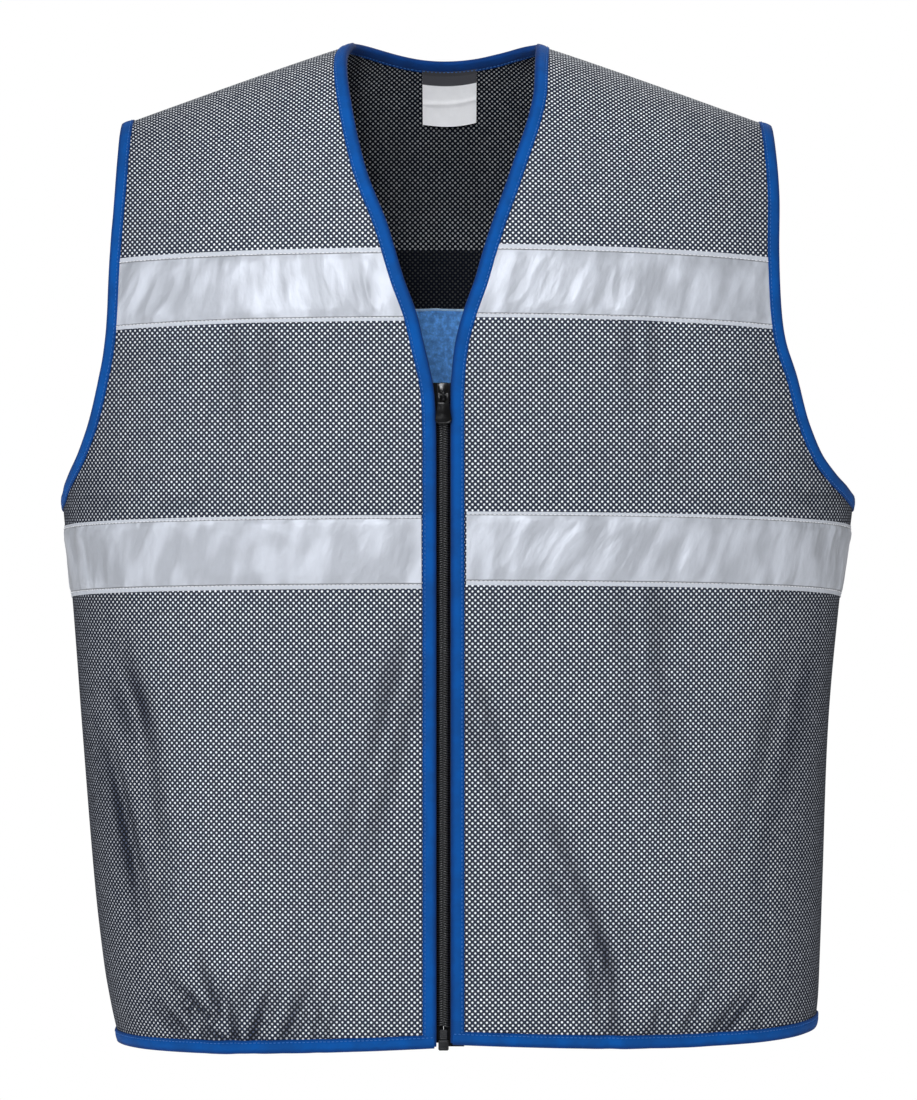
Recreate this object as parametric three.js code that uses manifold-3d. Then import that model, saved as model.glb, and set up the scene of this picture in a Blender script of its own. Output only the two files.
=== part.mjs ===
// Cooling vest: open mesh shell with folded edge bindings, reflective tapes, a coil zip,
// a cooling lining inside the back and a neck label. Millimetres, +Z up, front towards -Y.
// Right and left are the wearer's, so the right front lies at -X. The origin is the mount:
// midway between the shoulders, level with the middle of the shoulder seams.

import * as THREE from 'three';
import { mergeVertices } from 'three/addons/utils/BufferGeometryUtils.js';
import Module from 'manifold-3d';

const manifold = await Module();
manifold.setup();

// Body of the vest
const bodyLength = 661.1; // mount level down to the cloth's lower edge at the zip
const halfChest = 278; // half the width under the arms
const frontDepth = 121; // chest forward of the shoulder seams
const backDepth = 104; // back behind the shoulder seams
const squareness = 0.15; // how much fuller than an ellipse a section is
const ridgeRise = 41; // shoulder line above the mount, where it would cross the centre
const ridgeSlope = 0.366; // fall of the shoulder line on its way out
const ridgeRound = 40; // half-length of the rounded crest of that line
const rollHeight = 200; // height over which the cloth rolls over the shoulder

// Neck opening
const neckHalf = 64.5; // half the cloth's neck opening on the shoulder seam
const neckBack = 44; // neck edge behind the shoulder seam at the centre back
const neckFullness = 0.75; // power that shapes the back neck curve
const zipHalfGap = 6.2; // zip centre to the cloth's front edge

// Arm openings
const underarm = 292.3; // mount level down to the cloth's edge under the arm

// Cloth, trims and clearances
const clothWall = 2;
const bindingWall = 1;
const bindingWidth = 9; // fold to leg end
const tapeWall = 1;
const liningWall = 2;
const labelWall = 1;
const clearance = 0.3;
const bindingBulk = clearance + bindingWall;
const legSpan = bindingWidth - bindingBulk; // leg beyond the cloth's edge

// Reflective tapes and lining, as depths below the mount at the centre
const chestTapeTop = 123.4;
const tapeHeight = 49.5;
const waistTapeTop = 303.5;
const backTapeTop = 108.5;
const backWaistTapeTop = 302;
const liningTop = 151.5;

// Neck label
const labelWidth = 39.4;
const labelHeight = 40;
const labelShift = 3.7; // label's middle beside the zip's plane
const labelClearance = 1.2;

// Zip
const coilHalfWidth = 3.5;
const coilThickness = 2.6;
const zipTapeReach = 14; // zip centre to the tape's outer edge
const zipTapeWall = 1;
const zipTop = 214.5; // mount level down to the slider's top
const sliderHeight = 13.5;
const sliderHalfWidth = 4.3;
const sliderPlate = 1.4;
const sliderLip = 0.8;
const noseHalfWidth = 1.2;
const noseHeight = 3.6;
const bridgeHeight = 7.8;
const bridgeWidth = 1.6;
const bridgeReach = 4; // bridge's outer face in front of the slider
const bridgeWall = 1.2;
const pullPin = 0.7; // radius of the pull's crossbar
const pullWall = 1.6;
const pullTopWidth = 7.4;
const pullWidth = 11.5;
const pullLength = 19.5; // crossbar down to the pull's lower end
const pullArm = 5.4; // crossbar down to the solid tab
const pullSlot = 3.6; // width of the pull's window round the bridge
const boxWidth = 7;
const boxHeight = 7;
const boxDepth = 5;
const pinWidth = 5;
const pinHeight = 7;
const zipFoot = 664.3; // mount level down to the box's lower end

// Half-widths and depths of the body: height down from the mount as a share of bodyLength,
// widths as shares of halfChest, depths as shares of frontDepth and backDepth.
const sections = [
  { height: -0.1, right: 0.99, left: 1.045, front: 0.97, back: 0.96 },
  { height: 0.2, right: 0.98, left: 1.045, front: 1.0, back: 1.0 },
  { height: 0.442, right: 0.963, left: 1.033, front: 1.0, back: 0.98 },
  { height: 0.505, right: 0.949, left: 1.014, front: 1.0, back: 0.96 },
  { height: 0.548, right: 0.939, left: 0.999, front: 0.995, back: 0.94 },
  { height: 0.676, right: 0.916, left: 0.971, front: 0.985, back: 0.92 },
  { height: 0.846, right: 0.883, left: 0.956, front: 0.965, back: 0.93 },
  { height: 0.93, right: 0.86, left: 0.949, front: 0.955, back: 0.94 },
  { height: 0.973, right: 0.843, left: 0.944, front: 0.95, back: 0.945 },
  { height: 1.012, right: 0.822, left: 0.932, front: 0.945, back: 0.95 },
];

// Front neck edge of the cloth: height down from the mount as a share of zipTop,
// distance from the zip's plane as shares of neckHalf.
const neckline = [
  { height: -0.14, right: 0.98, left: 1.03 },
  { height: -0.072, right: 1.062, left: 1.008 },
  { height: 0.097, right: 1.003, left: 0.957 },
  { height: 0.322, right: 0.834, left: 0.728 },
  { height: 0.498, right: 0.61, left: 0.525 },
  { height: 0.594, right: 0.514, left: 0.425 },
  { height: 0.679, right: 0.428, left: 0.344 },
  { height: 0.783, right: 0.301, left: 0.222 },
  { height: 0.88, right: 0.223, left: 0.141 },
];

// Edge of an arm opening from under the arm to the shoulder tip: drop below the tip as a
// share of the whole drop, and reach as a share of the body's half-width at that height,
// for the right and the left front and for the back.
const armhole = [
  { drop: 1, right: 1, left: 1, back: 1 },
  { drop: 0.985, right: 0.991, left: 0.988, back: 0.99 },
  { drop: 0.965, right: 0.983, left: 0.969, back: 0.978 },
  { drop: 0.935, right: 0.967, left: 0.938, back: 0.955 },
  { drop: 0.885, right: 0.938, left: 0.9, back: 0.915 },
  { drop: 0.8, right: 0.902, left: 0.862, back: 0.872 },
  { drop: 0.69, right: 0.873, left: 0.832, back: 0.835 },
  { drop: 0.565, right: 0.849, left: 0.797, back: 0.808 },
  { drop: 0.375, right: 0.838, left: 0.787, back: 0.795 },
  { drop: 0.19, right: 0.826, left: 0.791, back: 0.795 },
  { drop: 0, right: 0.82, left: 0.785, back: 0.8 },
];

// Height of each row of the cloth's grid between the hem and the chest tape, at the zip or
// centre back and at the sides, as shares of bodyLength. Rows of the tapes take their own
// heights, and each later row stands on the table's order.
const hemRise = { right: 0.0129, left: -0.0041 }; // share by which the hem drops at the side
const bellyRows = [0.925, 0.84, 0.755, 0.675, 0.6];
const tapeDroop = { chest: 0.006, waist: 0.0115 }; // drop of a tape at the side, as a share
const midRows = [0.447, 0.436, 0.4235, 0.41, 0.393, 0.37, 0.342, 0.305]; // at the centre
const rollRows = [0.2, 0.4, 0.58, 0.74, 0.88, 1]; // chest tape to shoulder seam or neck edge
const leftLift = 2.4; // the left front sits this much higher at the zip
const hemSag = 4.8; // how far the front's hem bows down between zip and side

// Soft folds of the cloth: both ends as shares of halfChest across and of bodyLength down,
// breadth as a share of halfChest, rise as a share of frontDepth.
const folds = [
  { face: 'front', x1: -0.9, z1: 0.62, x2: -0.66, z2: 0.97, breadth: 0.07, rise: -0.03 },
  { face: 'front', x1: -0.5, z1: 1.0, x2: -0.3, z2: 0.86, breadth: 0.06, rise: 0.025 },
  { face: 'front', x1: -0.55, z1: 1.0, x2: -0.72, z2: 0.84, breadth: 0.06, rise: 0.022 },
  { face: 'front', x1: 0.42, z1: 1.0, x2: 0.36, z2: 0.8, breadth: 0.06, rise: 0.026 },
  { face: 'front', x1: 0.68, z1: 1.0, x2: 0.74, z2: 0.82, breadth: 0.06, rise: -0.022 },
  { face: 'front', x1: -0.86, z1: 0.47, x2: -0.5, z2: 0.4, breadth: 0.06, rise: 0.018 },
  { face: 'front', x1: 0.9, z1: 0.47, x2: 0.55, z2: 0.4, breadth: 0.06, rise: 0.018 },
  { face: 'back', x1: -0.6, z1: 1.0, x2: -0.5, z2: 0.7, breadth: 0.09, rise: 0.03 },
  { face: 'back', x1: 0.15, z1: 1.0, x2: 0.1, z2: 0.68, breadth: 0.1, rise: -0.03 },
  { face: 'back', x1: 0.62, z1: 0.98, x2: 0.55, z2: 0.72, breadth: 0.08, rise: 0.028 },
];

// Colour, roughness and metalness of each material
const finishes = {
  mesh: { color: 0x565b66, roughness: 0.85, metalness: 0 },
  binding: { color: 0x0c3f94, roughness: 0.75, metalness: 0 },
  reflective: { color: 0xc3c7cd, roughness: 0.4, metalness: 0.1 },
  lining: { color: 0x3d6aae, roughness: 0.95, metalness: 0 },
  label: { color: 0xe9eaec, roughness: 0.6, metalness: 0 },
  zipCloth: { color: 0x16171b, roughness: 0.85, metalness: 0 },
  zipCoil: { color: 0x1d1e23, roughness: 0.5, metalness: 0 },
  zipMetal: { color: 0x131418, roughness: 0.35, metalness: 0.4 },
};

const frontColumns = 9;
const shoulderColumns = 5;
const neckColumns = 12;
const underarmSteps = [0.3, 0.65]; // places on the arm curve whose insets round its corner
const neckCornerSteps = [0.045, 0.09]; // the same at the neck, as shares of the half curve
const sideColumn = 0.92; // last inner column's place across, below the arms

const lerp = (a, b, t) => a + (b - a) * t;

// A smooth curve through the rows of a table, read at a place in the column `key`.
function smoothValue(table, key, value, place) {
  const last = table.length - 1;
  let k = 0;
  while (k < last - 1 && table[k + 1][key] < place) {
    k += 1;
  }
  const slope = (row) => {
    const low = table[Math.max(0, row - 1)];
    const high = table[Math.min(last, row + 1)];
    return (high[value] - low[value]) / (high[key] - low[key]);
  };
  const span = table[k + 1][key] - table[k][key];
  const t = THREE.MathUtils.clamp((place - table[k][key]) / span, 0, 1);
  const start = (1 + 2 * t) * (1 - t) ** 2 * table[k][value] + t * (1 - t) ** 2 * span * slope(k);
  return start + t * t * (3 - 2 * t) * table[k + 1][value] - t * t * (1 - t) * span * slope(k + 1);
}

// The same through rows taken one step apart, read at a fraction of a row.
function smoothStep(values, place) {
  const table = values.map((value, step) => ({ step, value }));
  return smoothValue(table, 'step', 'value', place);
}

const halfWidth = (sign, z) =>
  halfChest * smoothValue(sections, 'height', sign < 0 ? 'right' : 'left', -z / bodyLength);

const bodyDepth = (face, z) =>
  (face === 'front' ? frontDepth : backDepth) *
  smoothValue(sections, 'height', face, -z / bodyLength);

const ridge = (x) => ridgeRise - ridgeSlope * (Math.hypot(x, ridgeRound) - ridgeRound);

// Drop below the shoulder line at a roll angle, which past a quarter turn runs straight down.
function dropAt(roll) {
  const turned = Math.min(roll, Math.PI / 2);
  return rollHeight * (1 - Math.cos(turned)) + rollHeight * Math.max(0, roll - Math.PI / 2);
}

function rollAt(drop) {
  if (drop > rollHeight) {
    return Math.PI / 2 + (drop - rollHeight) / rollHeight;
  }
  return Math.acos(THREE.MathUtils.clamp(1 - drop / rollHeight, 0, 1));
}

// Point of the body's smooth surface at an angle round the section and a roll angle.
function bodyPoint(face, around, roll) {
  let x = 0;
  let z = 0;
  for (let pass = 0; pass < 8; pass += 1) {
    z = ridge(x) - dropAt(Math.abs(roll));
    x = halfWidth(around, z) * Math.sin(around);
  }
  const fullness = Math.cos(around) * (1 + squareness * Math.sin(around) ** 2);
  const roundOver = roll < Math.PI / 2 ? Math.sin(roll) : 1;
  const y = (face === 'front' ? -1 : 1) * bodyDepth(face, z) * fullness * roundOver;
  return new THREE.Vector3(x, y, z);
}

const normalStep = 1e-3;

function bodyNormal(face, around, roll) {
  const across = bodyPoint(face, around + normalStep, roll);
  across.sub(bodyPoint(face, around - normalStep, roll));
  const down = bodyPoint(face, around, roll + normalStep);
  down.sub(bodyPoint(face, around, roll - normalStep));
  const normal = face === 'front' ? down.cross(across) : across.cross(down);
  return normal.normalize();
}

// Height of the soft folds over the smooth surface, none at the side seams.
function foldHeight(face, around, x, z) {
  const place = new THREE.Vector2(x, -z);
  return folds
    .filter((fold) => fold.face === face)
    .reduce((sum, fold) => {
      const start = new THREE.Vector2(fold.x1 * halfChest, fold.z1 * bodyLength);
      const along = new THREE.Vector2(fold.x2 * halfChest, fold.z2 * bodyLength).sub(start);
      const offset = place.clone().sub(start);
      const t = offset.dot(along) / along.lengthSq();
      const side = Math.abs(offset.cross(along)) / along.length() / (fold.breadth * halfChest);
      const ends = Math.max(0, 1 - Math.max(0, t) ** 2) * Math.exp(-Math.max(0, -t) * 6);
      return sum + fold.rise * frontDepth * Math.exp(-side * side) * ends;
    }, 0) * Math.cos(around);
}

// A node of the cloth's grid: its angles, its place on the folded outer face and the normal.
function clothNode(face, around, roll) {
  const normal = bodyNormal(face, around, roll);
  const place = bodyPoint(face, around, roll);
  place.addScaledVector(normal, foldHeight(face, around, place.x, place.z));
  return { face, around, roll, place, normal };
}

// Angles of the surface point nearest to a point that lies close to it.
function anglesNear(face, point) {
  const width = halfWidth(point.x, point.z);
  const across = THREE.MathUtils.clamp(point.x / width, -1, 1);
  let roll = rollAt(ridge(point.x) - point.z);
  let around = Math.asin(across);
  const full = bodyDepth(face, point.z) * (1 + squareness * across * across);
  if (roll < Math.PI / 4) {
    const share = Math.abs(point.y) / (full * Math.cos(around));
    roll = Math.asin(Math.min(1, share));
  } else if (Math.abs(across) > 0.9) {
    const roundOver = roll < Math.PI / 2 ? Math.sin(roll) : 1;
    const share = Math.min(1, Math.abs(point.y) / (full * roundOver));
    around = Math.sign(point.x) * Math.acos(share);
  }
  return { around, roll };
}

// The surface point at a distance from an edge, square to it and towards the cloth.
function insetFrom(face, edge, place, inward) {
  const step = 0.02;
  const before = edge(place - step);
  const after = edge(place + step);
  const here = edge(place);
  const start = bodyPoint(face, here.around, here.roll);
  const tangent = bodyPoint(face, after.around, after.roll);
  tangent.sub(bodyPoint(face, before.around, before.roll)).normalize();
  const side = bodyNormal(face, here.around, here.roll).cross(tangent).multiplyScalar(inward);
  return anglesNear(face, start.addScaledVector(side, legSpan));
}

// Angles at a height on a curve that gives its distance from the zip's plane.
function anglesAtHeight(sign, x, z) {
  const around = sign * Math.asin(Math.min(1, Math.abs(x) / halfWidth(sign, z)));
  return { around, roll: rollAt(ridge(x) - z) };
}

const sideAngles = (sign, z) => anglesAtHeight(sign, sign * halfWidth(sign, z), z);

const sideName = (sign) => (sign < 0 ? 'right' : 'left');

// The point of a shoulder seam one binding leg away from an edge.
function alongSeam(edge, direction) {
  const step = normalStep * direction;
  const start = bodyPoint('front', edge.around, 0);
  const unit = bodyPoint('front', edge.around + step, 0).distanceTo(start) / normalStep;
  return { around: edge.around + (direction * legSpan) / unit, roll: 0 };
}

// Distance of the front edge of the cloth from the zip's plane at a height.
function frontEdge(sign, z) {
  const down = -z / zipTop;
  const column = sideName(sign);
  const straight = zipHalfGap / neckHalf;
  const table = [
    ...neckline,
    { height: 1.006, right: 1.35 * straight, left: 1.02 * straight },
    { height: 1.12, right: 1.05 * straight, left: straight },
    { height: 1.3, right: straight, left: straight },
  ];
  return down > 1.3 ? zipHalfGap : neckHalf * smoothValue(table, 'height', column, down);
}

// Height of the shoulder tip on one side, where the arm opening meets the shoulder line.
function tipHeight(sign) {
  let z = 0;
  for (let pass = 0; pass < 12; pass += 1) {
    z = ridge(halfWidth(sign, z) * armhole.at(-1)[sideName(sign)]);
  }
  return z;
}

// Angles on the edge of an arm opening: place 0 is under the arm, the last place the tip.
function armEdge(face, sign) {
  const column = face === 'back' ? 'back' : sideName(sign);
  const drops = armhole.map((row) => row.drop);
  const tip = armhole.at(-1);
  const tipShare = face === 'back' ? tip[sideName(sign)] : tip[column];
  const reaches = armhole.slice(0, -1).map((row) => Math.asin(row[column]));
  reaches.push(Math.asin(tipShare));
  const top = tipHeight(sign);
  return (place) => {
    const bounded = Math.abs(place);
    const reach = smoothStep(reaches, bounded);
    const z = top - smoothStep(drops, bounded) * (underarm + top);
    const around = place < 0 ? Math.PI - reach : reach;
    const x = halfWidth(sign, z) * Math.sin(around);
    return { around: sign * around, roll: rollAt(ridge(x) - z) };
  };
}

// Heights of the level rows of a panel, from the hem up, at the centre and at the side.
function levelRows(face, sign) {
  const isFront = face === 'front';
  const lift = isFront && sign > 0 ? leftLift : 0;
  const side = sideName(sign);
  const hemSide = bodyLength * (1 + hemRise[side]);
  const chest = isFront ? chestTapeTop : backTapeTop;
  const waist = isFront ? waistTapeTop : backWaistTapeTop;
  const droop = { chest: tapeDroop.chest * bodyLength, waist: tapeDroop.waist * bodyLength };
  const top = tipHeight(sign);
  const armRow = (row) => armhole[row].drop * (underarm + top) - top;
  const beforeHem = (share) => (share - bellyRows.at(-1)) / (1 - bellyRows.at(-1));
  const bellyDroop = (share) => lerp(droop.waist, hemSide - bodyLength, beforeHem(share));
  const sag = isFront ? hemSag : 0;
  const rows = [
    { centre: bodyLength, side: hemSide, sag },
    { centre: bodyLength - legSpan, side: hemSide - legSpan, sag },
    ...bellyRows.map((share) => ({
      centre: share * bodyLength,
      side: share * bodyLength + bellyDroop(share),
      sag: sag * beforeHem(share) ** 2,
    })),
    { centre: waist + tapeHeight, side: waist + tapeHeight + droop.waist },
    { centre: waist, side: waist + droop.waist },
    { centre: midRows[0] * bodyLength, side: underarm + legSpan },
    ...midRows.slice(1).map((share, k) => ({ centre: share * bodyLength, side: armRow(k) })),
    { centre: chest + tapeHeight, side: chest + tapeHeight + droop.chest },
    { centre: chest, side: chest + droop.chest },
  ];
  return rows.map((row) => ({
    centre: lift - row.centre,
    side: -row.side,
    sag: row.sag ?? 0,
  }));
}

const hemRow = 0;
const waistTapeRow = 2 + bellyRows.length; // the tape's lower edge
const underarmRow = waistTapeRow + 3;
const chestTapeRow = underarmRow - 1 + midRows.length;
const topRow = chestTapeRow + 1 + rollRows.length;

// Place on the arm curve of each row's end: whole steps at the table's rows, and above them
// the place where the curve reaches that row's height or share of the roll.
function armPlaceAt(curve, test) {
  let low = 0;
  let high = armhole.length - 1;
  for (let pass = 0; pass < 40; pass += 1) {
    const middle = (low + high) / 2;
    if (test(curve(middle))) {
      low = middle;
    } else {
      high = middle;
    }
  }
  return (low + high) / 2;
}

const heightOf = (angles) => bodyPoint('front', angles.around, angles.roll).z;

// Place on the arm curve where each row from the underarm up ends.
function armPlaces(curve, levels) {
  const places = [];
  for (let row = underarmRow; row < levels.length; row += 1) {
    places[row] = armPlaceAt(curve, (angles) => heightOf(angles) < levels[row].side);
  }
  places[underarmRow] = 0;
  const tapeRoll = curve(places[levels.length - 1]).roll;
  rollRows.forEach((share, k) => {
    const roll = tapeRoll * (1 - share);
    places[levels.length + k] = armPlaceAt(curve, (angles) => angles.roll > roll);
  });
  places[topRow] = armhole.length - 1;
  return places;
}

// The two outermost nodes of each row: the cloth's edge and the line beside its binding.
function outerAngles(face, sign, levels) {
  const curve = armEdge(face, sign);
  const places = armPlaces(curve, levels);
  const inward = (face === 'front' ? 1 : -1) * sign;
  const rows = [];
  for (let row = 0; row <= topRow; row += 1) {
    const onSide = row < underarmRow;
    const edge = onSide ? sideAngles(sign, levels[row].side) : curve(places[row]);
    const corner = row - (underarmRow - 1);
    const place = corner === 0 || corner === 1 ? underarmSteps[corner] : places[row];
    const inset = row < underarmRow - 1 ? null : insetFrom(face, curve, place, inward);
    rows.push({ edge, inset: row === topRow ? alongSeam(edge, -sign) : inset });
  }
  return rows;
}

// Grid of one front: column 0 is the front edge, the last column the side or arm edge.
function frontGrid(sign) {
  const levels = levelRows('front', sign);
  const outer = outerAngles('front', sign, levels);
  const last = frontColumns;
  const rows = [];
  const edgeAt = (roll) => {
    let x = sign * neckHalf;
    for (let pass = 0; pass < 12; pass += 1) {
      x = sign * frontEdge(sign, ridge(x) - dropAt(roll));
    }
    return anglesAtHeight(sign, x, ridge(x) - dropAt(roll));
  };
  const tapeEdgeRoll = anglesAtHeight(
    sign, frontEdge(sign, levels.at(-1).centre), levels.at(-1).centre).roll;
  for (let row = 0; row <= topRow; row += 1) {
    const level = levels[row];
    const share = level ? 0 : rollRows[row - levels.length];
    const edge = level
      ? anglesAtHeight(sign, sign * frontEdge(sign, level.centre), level.centre)
      : edgeAt(tapeEdgeRoll * (1 - share));
    const inset = row === topRow ? alongSeam(edge, sign) : besideFrontEdge(sign, edge);
    const nextOuter = outer[row].inset ?? {
      around: lerp(inset.around, outer[row].edge.around, sideColumn),
    };
    const across = (k) => lerp(inset.around, nextOuter.around, (k - 1) / (last - 2));
    const nodes = [];
    for (let k = 0; k <= last; k += 1) {
      if (k === 0) {
        nodes.push(clothNode('front', edge.around, edge.roll));
      } else if (k === last) {
        nodes.push(clothNode('front', outer[row].edge.around, outer[row].edge.roll));
      } else if (k === last - 1 && outer[row].inset) {
        nodes.push(clothNode('front', nextOuter.around, nextOuter.roll));
      } else if (level) {
        nodes.push(levelNode('front', across(k), level, outer[row]));
      } else {
        const roll = lerp(rows[levels.length - 1][k].roll, 0, share);
        nodes.push(clothNode('front', across(k), roll));
      }
    }
    rows.push(nodes);
  }
  return { face: 'front', sign, rows };
}

// The place in a row where the front edge's binding ends, square to that edge.
function besideFrontEdge(sign, edge) {
  const step = 2;
  const start = bodyPoint('front', edge.around, edge.roll);
  const change = frontEdge(sign, start.z + step) - frontEdge(sign, start.z - step);
  const slant = Math.hypot(1, change / (2 * step));
  const reach = (legSpan * slant) / halfWidth(sign, start.z) / Math.cos(edge.around);
  return { around: edge.around + sign * reach, roll: edge.roll };
}

// Node of a level row, whose height eases from the centre's to that of the row's end.
function levelNode(face, around, level, { edge, inset }) {
  const end = inset ?? edge;
  const share = around / end.around;
  const side = bodyPoint(face, end.around, end.roll).z;
  const z = lerp(level.centre, side, share ** 2) - level.sag * 4 * share * (1 - share);
  let x = 0;
  for (let pass = 0; pass < 8; pass += 1) {
    x = halfWidth(around, z) * Math.sin(around);
  }
  return clothNode(face, around, rollAt(ridge(x) - z));
}

// Back neck edge: share 0 is on the shoulder seam, share 1 the centre back.
function neckEdge(sign) {
  return (share) => {
    const turn = (share * Math.PI) / 2;
    const x = sign * neckHalf * Math.cos(turn) * (sign < 0 ? neckStart.right : neckStart.left);
    const y = neckBack * Math.sign(turn) * Math.abs(Math.sin(turn)) ** (2 * neckFullness);
    return anglesFromPlan('back', x, y);
  };
}

const neckStart = { right: 0, left: 0 };
[-1, 1].forEach((sign) => {
  let x = sign * neckHalf;
  for (let pass = 0; pass < 12; pass += 1) {
    x = sign * frontEdge(sign, ridge(x));
  }
  neckStart[sideName(sign)] = Math.abs(x) / neckHalf;
});

// Angles of the surface point above a place of the plan, near the shoulder line.
function anglesFromPlan(face, x, y) {
  let z = ridge(x);
  let around = 0;
  let roll = 0;
  for (let pass = 0; pass < 8; pass += 1) {
    around = Math.asin(x / halfWidth(x, z));
    const full = Math.cos(around) * (1 + squareness * Math.sin(around) ** 2);
    roll = Math.asin(THREE.MathUtils.clamp(y / (bodyDepth(face, z) * full), -1, 1));
    z = ridge(x) - dropAt(Math.abs(roll));
  }
  return { around, roll };
}

// Angles of the back's two top rows in each column: the cloth's edge and the line beside
// the neck binding.
function backTop(outerRight, outerLeft) {
  const half = neckColumns / 2;
  const sides = [
    { sign: -1, outer: outerRight },
    { sign: 1, outer: outerLeft },
  ];
  const columns = sides.map(({ sign, outer }) => {
    const curve = neckEdge(sign);
    const inward = -sign;
    const inset = (share) => insetFrom('back', curve, share, inward);
    const seam = alongSeam(curve(0), sign);
    const list = [];
    for (let k = 0; k < shoulderColumns; k += 1) {
      const share = Math.max(0, (k - 1) / (shoulderColumns - 2));
      const around = k === 0 ? outer.edge.around : lerp(outer.inset.around, seam.around, share);
      list.push({ edge: { around, roll: 0 }, inset: null });
    }
    list[shoulderColumns - 1].inset = inset(neckCornerSteps[0]);
    list.push({ edge: curve(0), inset: inset(neckCornerSteps[1]) });
    for (let k = 1; k < half; k += 1) {
      list.push({ edge: curve(k / half), inset: inset(k / half) });
    }
    return list;
  });
  const centre = neckEdge(-1);
  const middle = { edge: centre(1), inset: insetFrom('back', centre, 1, 1) };
  return [...columns[0], middle, ...columns[1].reverse()];
}

// Grid of the back: column 0 is the right side or arm edge, the last column the left one.
function backGrid() {
  const levels = { right: levelRows('back', -1), left: levelRows('back', 1) };
  const outer = {
    right: outerAngles('back', -1, levels.right),
    left: outerAngles('back', 1, levels.left),
  };
  const top = backTop(outer.right[topRow], outer.left[topRow]);
  const last = top.length - 1;
  const rows = [];
  for (let row = 0; row <= topRow; row += 1) {
    const level = levels.right[row];
    const ends = { right: outer.right[row], left: outer.left[row] };
    const inner = (name) => ends[name].inset?.around ?? sideColumn * ends[name].edge.around;
    const share = level ? 0 : rollRows[row - levels.right.length];
    const nodes = [];
    for (let k = 0; k <= last; k += 1) {
      const name = k <= last / 2 ? 'right' : 'left';
      const fromSide = Math.min(k, last - k);
      const even = lerp(inner('right'), inner('left'), (k - 1) / (last - 2));
      if (row === topRow) {
        nodes.push(clothNode('back', top[k].edge.around, top[k].edge.roll));
      } else if (fromSide === 0) {
        nodes.push(clothNode('back', ends[name].edge.around, ends[name].edge.roll));
      } else if (fromSide === 1 && ends[name].inset) {
        nodes.push(clothNode('back', ends[name].inset.around, ends[name].inset.roll));
      } else if (level) {
        nodes.push(levelNode('back', even, level, ends[name]));
      } else if (row === topRow - 1 && top[k].inset) {
        nodes.push(clothNode('back', top[k].inset.around, top[k].inset.roll));
      } else {
        const below = rows[levels.right.length - 1][k];
        const around = fromSide === 1 ? inner(name) : lerp(even, top[k].edge.around, share ** 2);
        nodes.push(clothNode('back', around, lerp(below.roll, top[k].edge.roll, share)));
      }
    }
    rows.push(nodes);
  }
  return { face: 'back', sign: 0, rows };
}

// Whether a cell's diagonal rises away from the wearer's right or towards it, so that the
// cells that bend round the neck and arm corners are cut from the corner.
function risesOutward(grid, column, row) {
  if (grid.face === 'front') {
    return true;
  }
  const onRight = column < (grid.rows[0].length - 1) / 2;
  return onRight === (row === topRow - 1);
}

// Triangles of the cells between two columns and two rows, as lists of nodes.
function cellTriangles(grid, [firstColumn, lastColumn], [firstRow, lastRow]) {
  const triangles = [];
  for (let row = firstRow; row < lastRow; row += 1) {
    for (let column = firstColumn; column < lastColumn; column += 1) {
      const a = grid.rows[row][column];
      const b = grid.rows[row][column + 1];
      const c = grid.rows[row + 1][column + 1];
      const d = grid.rows[row + 1][column];
      if (risesOutward(grid, column, row)) {
        triangles.push([a, b, c], [a, c, d]);
      } else {
        triangles.push([a, b, d], [b, c, d]);
      }
    }
  }
  return triangles;
}

const lifted = (node, offset) => node.place.clone().addScaledVector(node.normal, offset);

// A closed geometry from triangles of points, facing outwards.
function closedGeometry(triangles) {
  const solid = triangles.filter(([a, b, c]) => {
    const area = b.clone().sub(a).cross(c.clone().sub(a)).length();
    return area > 1e-9;
  });
  const volume = solid.reduce((sum, [a, b, c]) => sum + a.dot(b.clone().cross(c)), 0);
  const facing = volume < 0 ? solid.map(([a, b, c]) => [a, c, b]) : solid;
  const geometry = new THREE.BufferGeometry();
  const positions = facing.flat().flatMap((point) => point.toArray());
  geometry.setAttribute('position', new THREE.Float32BufferAttribute(positions, 3));
  return mergeVertices(geometry, 1e-4);
}

// A sheet over triangles of nodes, between two offsets from the cloth's outer face.
function sheetGeometry(nodeTriangles, low, high) {
  const triangles = [];
  const edges = new Map();
  const names = new Map();
  const nameOf = (node) => {
    if (!names.has(node)) {
      names.set(node, names.size);
    }
    return names.get(node);
  };
  nodeTriangles.forEach((nodes) => {
    const [a, b, c] = nodes;
    triangles.push([lifted(a, high), lifted(b, high), lifted(c, high)]);
    triangles.push([lifted(a, low), lifted(c, low), lifted(b, low)]);
    [[a, b], [b, c], [c, a]].forEach(([from, to]) => {
      const key = `${nameOf(from)}-${nameOf(to)}`;
      const back = `${nameOf(to)}-${nameOf(from)}`;
      if (edges.has(back)) {
        edges.delete(back);
      } else {
        edges.set(key, [from, to]);
      }
    });
  });
  edges.forEach(([from, to]) => {
    triangles.push([lifted(from, high), lifted(from, low), lifted(to, low)]);
    triangles.push([lifted(from, high), lifted(to, low), lifted(to, high)]);
  });
  return closedGeometry(triangles);
}

// A node moved towards another by a distance, within their facet.
function moved(node, towards, distance) {
  const share = distance / node.place.distanceTo(towards.place);
  return {
    ...node,
    place: node.place.clone().lerp(towards.place, share),
    normal: node.normal.clone().lerp(towards.normal, share),
  };
}

const copyGrid = (grid) => ({ ...grid, rows: grid.rows.map((nodes) => [...nodes]) });

// A copy of a grid whose nodes in one column are moved towards another column.
function columnMoved(grid, column, towards, distance) {
  const copy = copyGrid(grid);
  grid.rows.forEach((nodes, row) => {
    copy.rows[row][column] = moved(nodes[column], nodes[towards], distance);
  });
  return copy;
}

function rowMoved(grid, row, towards, distance) {
  const copy = copyGrid(grid);
  copy.rows[row] = grid.rows[row].map((node, column) =>
    moved(node, grid.rows[towards][column], distance));
  return copy;
}

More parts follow.
